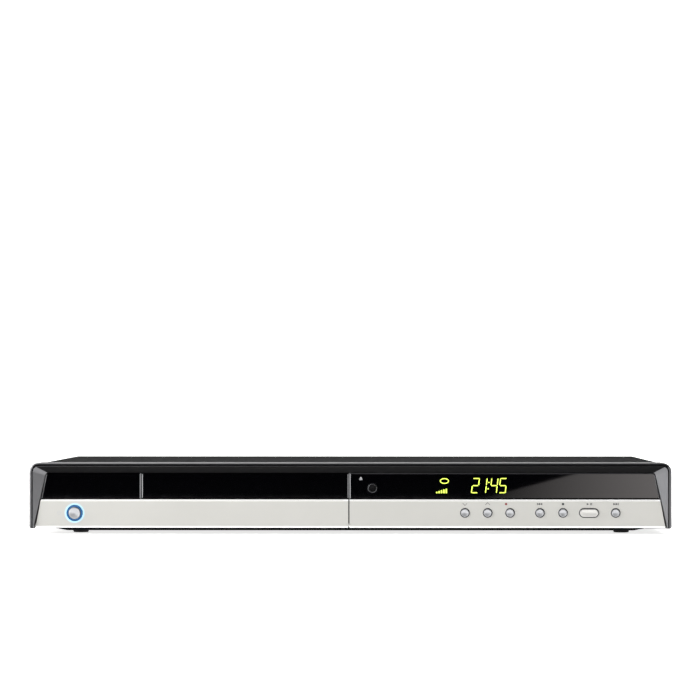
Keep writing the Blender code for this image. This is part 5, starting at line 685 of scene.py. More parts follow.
@dataclass(frozen=True)
class Heads:
    """Pan-head screws with a cross recess, set on points.

    The dome is given from its middle outwards, in shares of the radius and of the height.
    """

    name: str
    places: list[Point]
    turn: Point
    radius: float = 2.6 * MM
    height: float = 1.1 * MM
    dome: tuple[Flat, ...] = ((0.0, 1.0), (0.45, 1.0), (0.78, 0.84), (0.94, 0.5), (1.0, 0.15))
    sink: float = 0.2 * MM
    cross_width: float = 0.8 * MM
    cross_reach: float = 1.5 * MM
    cross_depth: float = 0.7 * MM

    def place(self) -> None:
        """Makes one head, sets it on each place and dresses them all as one piece."""
        radius, height = self.radius, self.height
        profile = [(radius * out, height * up) for out, up in self.dome] + [(radius, -self.sink), (0.0, -self.sink)]
        head = lathe(self.name + "_head", profile, (0.0, 0.0, 0.0), "Z", 24)
        carve_cross(head, (0.0, 0.0, height), 2, self.cross_reach, self.cross_width, self.cross_depth)
        points = bpy.data.meshes.new(self.name)
        points.from_pydata([tuple(place) for place in self.places], [], [])
        given = {"Places": ("Geometry", None), "Head": ("Object", head), "Turn": ("Vector", self.turn)}
        piece = run_rule(piece_of(self.name, points), given, self.grow, BARE_STEEL)
        bpy.data.objects.remove(head)
        dress(piece, "case", BARE_STEEL, "zinc_steel")

    def grow(self, tree: Tree, given: bpy.types.NodeOutputs) -> Socket:
        """Sets the head on each point."""
        unit = add_node(tree, "GeometryNodeObjectInfo", {"Object": given["Head"]}).outputs["Geometry"]
        copied = {"Points": given["Places"], "Instance": unit, "Rotation": given["Turn"]}
        return add_node(tree, "GeometryNodeInstanceOnPoints", copied).outputs[0]


@dataclass(frozen=True)
class CaseMetal:
    """The sheet metal case, the feet and every screw that shows outside.

    The screws' dome is given from its middle outwards, in shares of the radius and of the height below the face.
    """

    screw_radius: float = 3.0 * MM
    screw_height: float = 1.1 * MM
    dome: tuple[Flat, ...] = ((0.0, 0.0), (0.45, 0.0), (0.78, 0.18), (0.94, 0.5), (1.0, 0.8), (1.0, 1.0))
    shank_radius: float = 1.5 * MM
    tip: Flat = (0.9 * MM, 0.6 * MM)
    cross_width: float = 0.8 * MM
    cross_reach: float = 1.7 * MM
    cross_depth: float = 0.8 * MM
    rib_count: int = 20
    rib: Point = (0.5 * MM, 0.5 * MM, 1.4 * MM)
    rib_level: float = 2.2 * MM
    rear_rows: Flat = (13.0 * MM, 42.0 * MM)
    rear_shares: tuple[float, ...] = (-0.955, -0.29, 0.36, 0.955)
    rear_radius: float = 2.3 * MM
    base_shares: tuple[float, ...] = (-0.9, -0.45, 0.0, 0.45, 0.9)
    base_insets: Flat = (45.0 * MM, 9.0 * MM)
    fan_screw: float = 16.0 * MM
    socket_screw: float = 4.0 * MM

    def build(self) -> None:
        """Dresses the case and makes its screws and foot ribs."""
        coat(ZINC_SHEET, "rear_panel", "clamp_bridge", "traverse_frame")
        coat(COVER_POWDER, "top_cover")
        # The base's black is painted shade under the fascia.
        coat(BASE_PAINTED_SHADE, "bottom_chassis")
        for side in ("left", "right"):
            for place in ("front", "rear"):
                self.foot(f"foot_{place}_{side}")
                self.screw(f"cover_screw_{side}_{place}", 1 if side == "right" else -1)
        self.rear_screws()
        self.base_screws()

    def foot(self, name: str) -> None:
        """Dresses one foot and gives its side a ring of fine ribs."""
        coat(FOOT_RUBBER, name)
        low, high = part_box(name)
        centre = (middle(name).x, middle(name).y, low.z + self.rib_level)
        ribs = Row(name + "_ribs", Unit.BLOCK, self.rib, centre, (self.rib_count, 1), ring=(high.x - low.x) / 2)
        ribs.place("case", FOOT_RUBBER, "rubber")

    def rear_screws(self) -> None:
        """Sets the screws that hold the rear panel, the fan and the sockets."""
        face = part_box("rear_panel")[1]
        places = [(face.x * share, face.y, z) for share in self.rear_shares for z in self.rear_rows]
        fan, away = middle("fan_housing"), self.fan_screw
        places += [(fan.x + dx, face.y, fan.z + dz) for dx in (-away, away) for dz in (-away, away)]
        for name in ("av_socket_left", "av_socket_right"):
            low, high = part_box(name)
            height = (low.z + high.z) / 2
            places += [(x, face.y, height) for x in (low.x - self.socket_screw, high.x + self.socket_screw)]
        Heads("rear_screw_heads", places, (-QUARTER, 0.0, 0.0), radius=self.rear_radius).place()

    def base_screws(self) -> None:
        """Sets the screws along the front and rear edges of the underside."""
        low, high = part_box("bottom_chassis")
        depths = [p.y for p in vertices("bottom_chassis") if p.z < low.z + 0.1 * MM]
        rows = (min(depths) + self.base_insets[0], max(depths) - self.base_insets[1])
        places = [(high.x * share, y, low.z) for share in self.base_shares for y in rows]
        Heads("base_screw_heads", places, (180 * DEGREE, 0.0, 0.0)).place()

    def screw(self, name: str, side: int) -> None:
        """Makes one screw of the cover with its shank, in place of its plain solid.

        Args:
            name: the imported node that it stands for.
            side: 1 on the right side, -1 on the left.
        """
        low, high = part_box(name)
        centre = (low + high) / 2
        head, shank = (high.x, low.x) if side > 0 else (low.x, high.x)
        length = abs(head - shank)
        radius, height, thin = self.screw_radius, self.screw_height, self.shank_radius
        profile = [(radius * out, length - height * down) for out, down in self.dome]
        profile += [(thin, length - height), (thin, self.tip[1]), (self.tip[0], 0.0), (0.0, 0.0)]
        screw = lathe(name + "_pan_head", profile, (shank, centre.y, centre.z), "X", 32)
        if side < 0:
            flip = Matrix.Diagonal((-1, 1, 1, 1)) @ Matrix.Translation((-shank, 0, 0))
            screw.data.transform(Matrix.Translation((shank, 0, 0)) @ flip)
            screw.data.flip_normals()
        face = (head, centre.y, centre.z)
        carve_cross(screw, face, 0, self.cross_reach, self.cross_width, self.cross_depth)
        dress(screw, "case", BARE_STEEL, "zinc_steel", name)


def bar_outline(x: float, z: float, width: float, height: float) -> list[Flat]:
    """A rectangle from one corner."""
    return [(x, z), (x + width, z), (x + width, z + height), (x, z + height)]


@dataclass(frozen=True)
class Marks:
    """Printed signs on the fascia: plain signs of the trade, no letters."""

    row_z: float = 20.4 * MM
    half: float = 0.75 * MM
    thick: float = 0.42 * MM
    arm: float = 1.55 * MM
    dot: Point = (104.4 * MM, 20.4 * MM, 0.8 * MM)
    power: Flat = (-195.2 * MM, 14.4 * MM)
    power_ring: Flat = (1.3 * MM, 0.95 * MM)
    power_gap: Flat = (120 * DEGREE, 420 * DEGREE)
    power_steps: int = 20
    eject: Flat = (7.2 * MM, 37.3 * MM)
    eject_half: float = 1.05 * MM

    def build(self, silver_y: float, window_y: float) -> None:
        """Prints every sign.

        Args:
            silver_y: y of the silver panel's face.
            window_y: y of the windows' face.
        """
        add_print("panel_signs", "case", PRINT_GREY, "silver_panel", silver_y, self.panel_signs())
        add_print("record_sign", "case", PRINT_RED, "silver_panel", silver_y, [circle(*self.dot, 24)])
        self.power_sign(silver_y)
        (x, z), half = self.eject, self.eject_half
        signs = [[(x - half, z), (x + half, z), (x, z + 1.2 * half)]]
        signs.append(bar_outline(x - half, z - 2 * self.thick, 2 * half, self.thick))
        add_print("eject_sign", "case", PRINT_PALE, "smoked_window", window_y, signs)

    def panel_signs(self) -> list[list[Flat]]:
        """The outlines of the signs over the row of buttons."""
        z, half, thick = self.row_z, self.half, self.thick
        signs = []
        for name, turn in (("channel_down_button", -1), ("channel_up_button", 1)):
            x, low, high = middle(name).x, z - turn * half, z + turn * half
            for foot in (x - self.arm, x + self.arm):
                signs.append([(x, high), (foot, low), (foot, low + turn * thick), (x, high + turn * thick)])
        for name, turn in (("skip_back_button", -1), ("skip_forward_button", 1)):
            x, arm = middle(name).x, turn * self.arm
            signs += [[(base, z - half), (base + arm, z), (base, z + half)] for base in (x - arm, x)]
            signs.append(bar_outline(x + arm, z - half, turn * thick, 2 * half))
        stop, play = middle("stop_button").x, middle("play_button").x
        signs.append(bar_outline(stop - half, z - half, 2 * half, 2 * half))
        signs.append([(play - self.arm, z - half), (play, z), (play - self.arm, z + half)])
        signs += [bar_outline(play + place * self.arm, z - half, thick, 2 * half) for place in (0.5, 1.0)]
        return signs

    def power_sign(self, silver_y: float) -> None:
        """Prints the open ring and bar that stand for power, left of the power button."""
        (x, z), (outer, inner), (start, stop) = self.power, self.power_ring, self.power_gap
        front, back = silver_y - THIN, silver_y + THIN
        rings = []
        for i in range(self.power_steps + 1):
            angle = start + (stop - start) * i / self.power_steps
            near, far = [(x + r * math.cos(angle), z + r * math.sin(angle)) for r in (inner, outer)]
            corners = ((near, front), (far, front), (far, back), (near, back))
            rings.append([(spot[0], y, spot[1]) for spot, y in corners])
        shape = bmesh.new()
        add_ring_solid(shape, rings)
        bar = bar_outline(x - self.thick / 2, z, self.thick, 1.1 * outer)
        add_print("power_sign", "flap", PRINT_PALE, "silver_panel", silver_y, [bar], shape)


@dataclass(frozen=True)
class ClockDisplay:
    """The lit segments: a clock, a disc ring and a few level bars."""

    low: float = 27.6 * MM
    high: float = 37.8 * MM
    stroke: float = 0.66 * MM
    slant: float = 0.12
    gap: float = 0.2 * MM
    digits: tuple[tuple[str, float, float], ...] = (
        ("2", 80.9 * MM, 85.8 * MM),
        ("1", 86.6 * MM, 91.0 * MM),
        ("4", 93.4 * MM, 98.3 * MM),
        ("5", 99.3 * MM, 104.2 * MM),
    )
    colon_x: float = 92.1 * MM
    colon_levels: Flat = (30.6 * MM, 34.8 * MM)
    colon_radius: float = 0.45 * MM
    disc: Flat = (63.2 * MM, 35.8 * MM)
    disc_outer: Flat = (3.05 * MM, 1.9 * MM)
    disc_inner: Flat = (2.45 * MM, 1.3 * MM)
    disc_steps: int = 40
    bars_x: float = 57.6 * MM
    bar_pitch: float = 1.6 * MM
    bar_width: float = 0.96 * MM
    bar_heights: tuple[float, ...] = (1.0 * MM, 1.5 * MM, 2.0 * MM, 2.5 * MM, 3.0 * MM)

    def build(self, face_y: float) -> None:
        """Lights the segments on the display window's face."""
        outlines = [outline for digit in self.digits for outline in self.segments(*digit)]
        outlines += [circle(self.lean(self.colon_x, z), z, self.colon_radius, 16) for z in self.colon_levels]
        for i, height in enumerate(self.bar_heights):
            outlines.append(bar_outline(self.bars_x + self.bar_pitch * i, self.low, self.bar_width, height))
        outer, inner = [
            circle(*self.disc, wide, self.disc_steps, tall) for wide, tall in (self.disc_outer, self.disc_inner)
        ]
        shape = bmesh.new()
        add_tube_ring(shape, outer, inner, face_y)
        add_print("display_segments", "case", LIT_SEGMENT, "display_glass", face_y, outlines, shape)

    def lean(self, x: float, z: float) -> float:
        """Moves x to the right by the slant of the digits at height z."""
        return x + self.slant * (z - self.low)

    def segments(self, digit: str, left: float, right: float) -> list[list[Flat]]:
        """The lit segments of one digit.

        Args:
            digit: the number.
            left: its left end at its foot.
            right: its right end at its foot.

        Returns:
            One outline for each lit segment.
        """
        lit = {"1": "bc", "2": "abged", "4": "fgbc", "5": "afgcd"}[digit]
        centre = (self.low + self.high) / 2
        half, gap = self.stroke / 2, self.gap
        level = {"a": self.high - half, "g": centre, "d": self.low + half}
        column = {
            "b": (right - half, centre, self.high),
            "c": (right - half, self.low, centre),
            "f": (left + half, centre, self.high),
            "e": (left + half, self.low, centre),
        }
        outlines = []
        for name in lit:
            if name in level:
                z, near, far = level[name], left + half + gap, right - half - gap
                points = [(near, z), (near + half, z + half), (far - half, z + half)]
                points += [(far, z), (far - half, z - half), (near + half, z - half)]
            else:
                x, foot, top = column[name]
                foot, top = foot + gap, top - gap
                points = [(x, foot), (x + half, foot + half), (x + half, top - half)]
                points += [(x, top), (x - half, top - half), (x - half, foot + half)]
            outlines.append([(self.lean(x, z), z) for x, z in points])
        return outlines


@dataclass(frozen=True)
class Fascia:
    """Windows, silver panels, buttons and the ring of light."""

    edge: float = 0.7 * MM
    corner: float = 2.0 * MM
    collar_gap: float = 0.16 * MM
    collar_width: float = 0.55 * MM
    collar_proud: float = 0.3 * MM
    collar_back: float = 1.0 * MM
    chamfer_facing: Flat = (0.3, 0.95)
    rim: float = 0.28 * MM
    dish: float = 0.36 * MM
    dish_rings: Point = (0.9, 0.45, 0.03)
    oval_dish_share: float = 0.3
    glow_radii: Flat = (5.5 * MM, 7.1 * MM)
    eject_hole: float = 2.7 * MM
    tiny: float = 0.05 * MM
    panel_buttons: tuple[str, ...] = (
        "channel_down_button", "channel_up_button", "record_button", "skip_back_button", "stop_button",
        "play_button", "skip_forward_button",
    )

    def build(self) -> None:
        """Makes or dresses each piece of the fascia."""
        paint("front_bezel", FrameLacquerAndPaintedHighlight().make())
        coat(SILVER_LACQUER, "control_panel", "front_flap")
        coat(BLUE_GUIDE, "power_light_ring")
        self.window("left_window", "case", slant_left=True)
        self.window("tray_door", "tray")
        self.window("display_window", "case", slant_right=True)
        silver_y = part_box("control_panel")[0].y
        window_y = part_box("display_window")[0].y
        for name in self.panel_buttons:
            self.cap(name, SATIN_ALUMINIUM if name == "play_button" else SPUN_ALUMINIUM)
        self.cap("power_button", SPUN_ALUMINIUM)
        self.cap("eject_button", CAP_BLACK)
        self.collars("button_collars", self.panel_buttons, silver_y, COLLAR_GREY, "silver_panel")
        self.collars("eject_collar", ("eject_button",), window_y, COLLAR_DARK, "spun_metal")
        Marks().build(silver_y, window_y)
        ClockDisplay().build(window_y)
        self.glow()

    def window(self, name: str, body: str, slant_left: bool = False, slant_right: bool = False) -> None:
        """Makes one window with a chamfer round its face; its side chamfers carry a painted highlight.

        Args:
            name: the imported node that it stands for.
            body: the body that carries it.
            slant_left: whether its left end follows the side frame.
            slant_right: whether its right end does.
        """
        low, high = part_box(name)
        tops = [p.x for p in vertices(name) if p.z > high.z - 1.5 * self.corner]
        outline = [(low.x, low.z), (high.x, low.z)]
        outline += self.top_corner(max(tops), high, 1) if slant_right else [(high.x, high.z)]
        outline += self.top_corner(min(tops), high, -1) if slant_left else [(low.x, high.z)]
        shape = bmesh.new()
        add_prism(shape, outline, low.y, high.y, self.edge)
        pane = from_bmesh(name + "_pane", shape)
        shows_display = name == "display_window"
        if shows_display:
            centre = middle("eject_button")
            front, back = low.y - MM, high.y + MM
            profile = [(0.0, front), (self.eject_hole, front), (self.eject_hole, back), (0.0, back)]
            carve(pane, lathe("eject_hole", profile, (centre.x, 0.0, centre.z), "Y", 40))
        pane.data.materials.clear()
        # The display window's top chamfer takes the dim painted highlight.
        upper_edge = WINDOW_TOP_HIGHLIGHT if shows_display else WINDOW_DARK_EDGE
        for finish in (WINDOW_ACRYLIC, WINDOW_SIDE_HIGHLIGHT, WINDOW_DARK_EDGE, upper_edge):
            pane.data.materials.append(finish.make())
        # Side chamfers take the grey painted highlight; top and bottom chamfers take the edge finishes.
        for face in pane.data.polygons:
            if self.chamfer_facing[0] < -face.normal.y < self.chamfer_facing[1]:
                level = 3 if face.normal.z > 0 else 2
                face.material_index = 1 if abs(face.normal.x) > abs(face.normal.z) else level
        dress(pane, body, WINDOW_ACRYLIC, "smoked_window", name)

    def top_corner(self, x: float, high: Vector, side: int) -> list[Flat]:
        """The rounded top corner of a window, on its right side (1) or its left side (-1)."""
        radius = self.corner
        angles = [i * QUARTER / 5 for i in range(6)][::side]
        middle_x, middle_z = x - side * radius, high.z - radius
        return [(middle_x + side * radius * math.cos(a), middle_z + radius * math.sin(a)) for a in angles]

    def face_size(self, name: str) -> Flat:
        """How far the round ends of a button's face are from its middle, and their radius."""
        low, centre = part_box(name)[0], middle(name)
        face = [p for p in vertices(name) if p.y < low.y + self.tiny]
        radius = max(p.z for p in face) - centre.z
        return max(p.x for p in face) - centre.x - radius, radius

    def cap(self, name: str, finish: Finish) -> None:
        """Makes one button: stem, flange and a cap with a rounded rim and a dish in its face.

        Args:
            name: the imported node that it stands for.
            finish: the surface of the cap.
        """
        (low, high), centre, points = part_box(name), middle(name), vertices(name)
        reach, radius = self.face_size(name)
        stem = max(p.z for p in points if p.y > high.y - self.tiny) - centre.z
        flange = high.z - centre.z
        plate = [p.y for p in points if abs(p.z - centre.z) > flange - self.tiny]
        front, back, top, rim = min(plate), max(plate), low.y, self.rim
        rings = [(0.0, stem, high.y), (0.0, stem, back), (reach, flange, back), (reach, flange, front)]
        rings += [(reach, radius, front), (reach, radius, top + rim)]
        rings += [(reach, radius - 0.3 * rim, top + 0.3 * rim), (reach, radius - rim, top)]
        dish = self.dish if reach < self.tiny else self.oval_dish_share * self.dish
        rings += [(reach, (radius - rim) * share, top + dish * (1 - share)) for share in self.dish_rings]
        shape = bmesh.new()
        add_ring_solid(shape, [upright(oval(centre.x, centre.z, side, size), y) for side, size, y in rings])
        piece = from_bmesh(name + "_cap", shape)
        map_turned(piece, centre.x, centre.z)
        dress(piece, name + "_body", finish, "spun_metal", name)

    def collars(self, name: str, buttons: tuple[str, ...], face_y: float, finish: Finish, slot: str) -> None:
        """Makes the rounded rims in which buttons sit.

        Args:
            name: the name of all these rims, as one piece.
            buttons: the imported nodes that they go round.
            face_y: y of the face that they stand on.
            finish: their surface.
            slot: the record's material slot.
        """
        shape = bmesh.new()
        for button in buttons:
            centre, (reach, radius) = middle(button), self.face_size(button)
            inner = radius + self.collar_gap
            rings = [(inner, face_y + self.collar_back)]
            for angle in [30 * DEGREE * i for i in range(7)]:
                across = inner + self.collar_width * (1 - math.cos(angle)) / 2
                rings.append((across, face_y - self.collar_proud * math.sin(angle)))
            rings.append((inner + self.collar_width, face_y + self.collar_back))
            loops = [upright(oval(centre.x, centre.z, reach, size), y) for size, y in rings]
            add_ring_solid(shape, loops, closed=True)
        dress(from_bmesh(name, shape), "case", finish, slot)

    def glow(self) -> None:
        """Lays the light that spills from the ring on the flap's face."""
        centre = middle("power_light_ring")
        face_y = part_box("front_flap")[0].y
        inner, outer = [circle(centre.x, centre.z, radius, 64) for radius in self.glow_radii]
        shape = bmesh.new()
        add_tube_ring(shape, outer, inner, face_y)
        piece = from_bmesh("power_glow", shape)
        piece.data.materials.append(Spill((centre.x, face_y, centre.z), self.glow_radii).make())
        dress(piece, "flap", SILVER_LACQUER, "blue_light")


@dataclass(frozen=True)
class Spill:
    """Blue light on silver lacquer, which fades from the ring outwards."""

    centre: Point
    radii: Flat
    near: str = "#a3d5f3"
    far: str = SILVER_LACQUER.colour
    strength: float = 0.2

    def make(self) -> Material:
        """Builds the material."""
        material, tree = blank("silver_lacquer_lit_blue")
        ends = {0: coordinate(tree), 1: self.centre}
        away = add_node(tree, "ShaderNodeVectorMath", ends, operation="DISTANCE").outputs["Value"]
        fade = remap(tree, away, *self.radii, kind="SMOOTHSTEP")
        inputs = {
            "Base Color": blend(tree, fade, linear(self.near), linear(self.far)),
            "Roughness": SILVER_LACQUER.roughness,
            "Metallic": SILVER_LACQUER.metallic,
            "Emission Color": linear(self.near),
            "Emission Strength": remap(tree, fade, 0.0, 1.0, self.strength, 0.0),
        }
        end(tree, add_node(tree, "ShaderNodeBsdfPrincipled", inputs))
        return material


@dataclass(frozen=True)
class FrameLacquerAndPaintedHighlight:
    """Black moulded ABS whose slanted side frames carry a graphite metallic lacquer, and whose top front edge
    carries the same lacquer as a painted highlight.

    The lacquer is where a face looks inwards and forwards; where a face looks up and forwards, it is a painted
    highlight.
    """

    lacquer: str = "#676769"
    roughness: float = 0.3
    lip_x: float = 212.5 * MM
    inward: float = -0.03
    forward: float = -0.2
    upward: float = 0.25

    def make(self) -> Material:
        """Builds the material from the moulded finish."""
        material = BEZEL_ABS.make()
        tree = material.node_tree
        facing, place = split(tree, "Normal"), split(tree)
        inwards = reckon(tree, "LESS_THAN", reckon(tree, "MULTIPLY", place[0], facing[0]), self.inward)
        outer = reckon(tree, "GREATER_THAN", reckon(tree, "ABSOLUTE", place[0]), self.lip_x)
        # Faces that look up and forwards: a painted highlight along the top front edge.
        painted_highlight = reckon(tree, "GREATER_THAN", facing[2], self.upward)
        either = reckon(tree, "MAXIMUM", reckon(tree, "MAXIMUM", inwards, outer), painted_highlight)
        mask = reckon(tree, "MULTIPLY", either, reckon(tree, "LESS_THAN", facing[1], self.forward))
        sockets = next(node for node in tree.nodes if node.type == "BSDF_PRINCIPLED").inputs
        colour, rough = [sockets[name].links[0].from_socket for name in ("Base Color", "Roughness")]
        rough = add_node(tree, "ShaderNodeMix", {0: mask, 2: rough, 3: self.roughness}).outputs[0]
        tree.links.new(blend(tree, mask, colour, linear(self.lacquer)), sockets["Base Color"])
        tree.links.new(rough, sockets["Roughness"])
        tree.links.new(mask, sockets["Metallic"])
        return material


def map_turned(piece: Piece, x: float, z: float) -> None:
    """Gives a turned piece a UV map that runs round its axis, for the grain that the lathe leaves.

    Args:
        piece: the piece, turned about an axis along Y.
        x: the axis' place.
        z: the axis' height.
    """
    mesh = piece.data
    layer = mesh.uv_layers.new(name=TURNED_MAP)
    for face in mesh.polygons:
        middle_angle = math.atan2(face.center.z - z, face.center.x - x)
        for loop_index in face.loop_indices:
            point = mesh.vertices[mesh.loops[loop_index].vertex_index].co
            angle = math.atan2(point.z - z, point.x - x)
            turns = round((middle_angle - angle) / FULL_TURN)
            radius = math.hypot(point.x - x, point.z - z)
            layer.data[loop_index].uv = (angle / FULL_TURN + turns, (radius + 0.37 * point.y) / (10 * MM))


@dataclass(frozen=True)
class Barrel:
    """A round connector that stands out of the rear panel: radii of its bore, its sleeve and its washer."""

    at: Flat
    panel_y: float
    tip_y: float
    bore: float
    shell: float
    washer: float
    skin: float = 0.4 * MM
    washer_height: float = 1.4 * MM

    def place(self, shell_name: str, washer_name: str, finish: Finish) -> None:
        """Turns a plated sleeve with a lip, and a flat washer of a finish against the panel."""
        lip, tip, foot = self.skin, self.tip_y, self.panel_y + MM
        profile = [(self.bore, tip - lip), (self.shell - lip, tip - lip / 2), (self.shell, tip - 2 * lip)]
        profile += [(self.shell, foot), (self.bore, foot)]
        self.turn(shell_name, profile, 36, TINNED, "zinc_steel")
        hole, top = self.shell + THIN, self.panel_y + self.washer_height
        profile = [(hole, top), (self.washer - lip, top), (self.washer, top - lip)]
        profile += [(self.washer, self.panel_y), (hole, self.panel_y)]
        self.turn(washer_name, profile, 36, finish, "black_plastic")

    def turn(self, name: str, profile: list[Flat], steps: int, finish: Finish, slot: str) -> None:
        """Turns one piece about the connector's axis."""
        dress(lathe(name, profile, (self.at[0], 0.0, self.at[1]), "Y", steps), "case", finish, slot)


@dataclass(frozen=True)
class RearSockets:
    """What the rear panel carries: sockets with contacts, round jacks, aerial pair, inlet, fan."""

    contact: Point = (0.5 * MM, 1.6 * MM, 7.0 * MM)
    contact_pitch: Flat = (3.8 * MM, 4.4 * MM)
    contact_count: tuple[int, int] = (10, 2)
    contact_shift: Point = (-1.0 * MM, -6.6 * MM, -0.4 * MM)
    jack_pitch: float = 13 * MM
    jack_radii: Point = (3.0 * MM, 4.35 * MM, 5.9 * MM)
    aerial_pitch: float = 24 * MM
    aerial_radii: Point = (3.2 * MM, 5.05 * MM, 7.2 * MM)
    pin_radius: float = 0.8 * MM
    pin_tip: Flat = (2.0 * MM, 2.6 * MM)
    lip: tuple[Flat, ...] = (
        (0.1 * MM, 0.0), (1.5 * MM, 0.0), (1.5 * MM, 0.5 * MM), (1.1 * MM, 0.9 * MM), (0.1 * MM, 0.9 * MM),
    )

    def build(self) -> None:
        """Dresses the connectors and makes their contacts and rings."""
        sockets = ("av_socket_left", "av_socket_right")
        coat(BLACK_NYLON, *sockets, "av_jack_block", "power_inlet", "fan_housing", "fan_rotor")
        coat(ZINC_SHEET, "tuner_module")
        for name in sockets:
            centre = middle(name)
            centre = Vector((centre.x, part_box(name)[1].y, centre.z)) + Vector(self.contact_shift)
            contacts = Row(
                name + "_contacts", Unit.BLOCK, self.contact, tuple(centre), self.contact_count,
                self.contact_pitch, (QUARTER, 0.0, 0.0),
            )
            contacts.place("case", TINNED, "black_plastic")
        self.jacks()
        self.aerials()
        self.inlet_rim()

    def jacks(self) -> None:
        """Puts a coloured washer and a plated sleeve on each round jack."""
        panel_y, tip_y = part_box("rear_panel")[1].y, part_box("av_jack_block")[1].y
        centre = middle("av_jack_block")
        for i, finish in enumerate(JACK_INSERTS):
            at = (centre.x + self.jack_pitch * (i - 1.5), centre.z)
            barrel = Barrel(at, panel_y, tip_y, *self.jack_radii)
            barrel.place(f"av_jack_shell_{i}", f"av_jack_washer_{i}", finish)

    def aerials(self) -> None:
        """Puts a sleeve, a washer and a contact pin on each aerial connector."""
        panel_y, tip_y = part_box("rear_panel")[1].y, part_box("tuner_module")[1].y
        centre, radius = middle("tuner_module"), self.pin_radius
        for side, name in ((-1, "aerial_in"), (1, "aerial_out")):
            at = (centre.x + side * self.aerial_pitch / 2, centre.z)
            barrel = Barrel(at, panel_y, tip_y, *self.aerial_radii)
            barrel.place(name + "_shell", name + "_washer", ZINC_SHEET)
            end_y, shoulder_y = tip_y - self.pin_tip[0], tip_y - self.pin_tip[1]
            pin = [(0.0, end_y), (radius, shoulder_y), (radius, panel_y), (0.0, panel_y)]
            barrel.turn(name + "_pin", pin, 20, BRASS_PLATE, "zinc_steel")

    def inlet_rim(self) -> None:
        """Frames the mains inlet with a rounded lip."""
        low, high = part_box("power_inlet")
        panel_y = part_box("rear_panel")[1].y
        rings = []
        for grow, out in self.lip:
            left, right, foot, top = low.x - grow, high.x + grow, low.z - grow, high.z + grow
            rings.append(upright([(left, foot), (right, foot), (right, top), (left, top)], panel_y + out))
        shape = bmesh.new()
        add_ring_solid(shape, rings, closed=True)
        dress(from_bmesh("power_inlet_lip", shape), "case", BLACK_NYLON, "black_plastic")


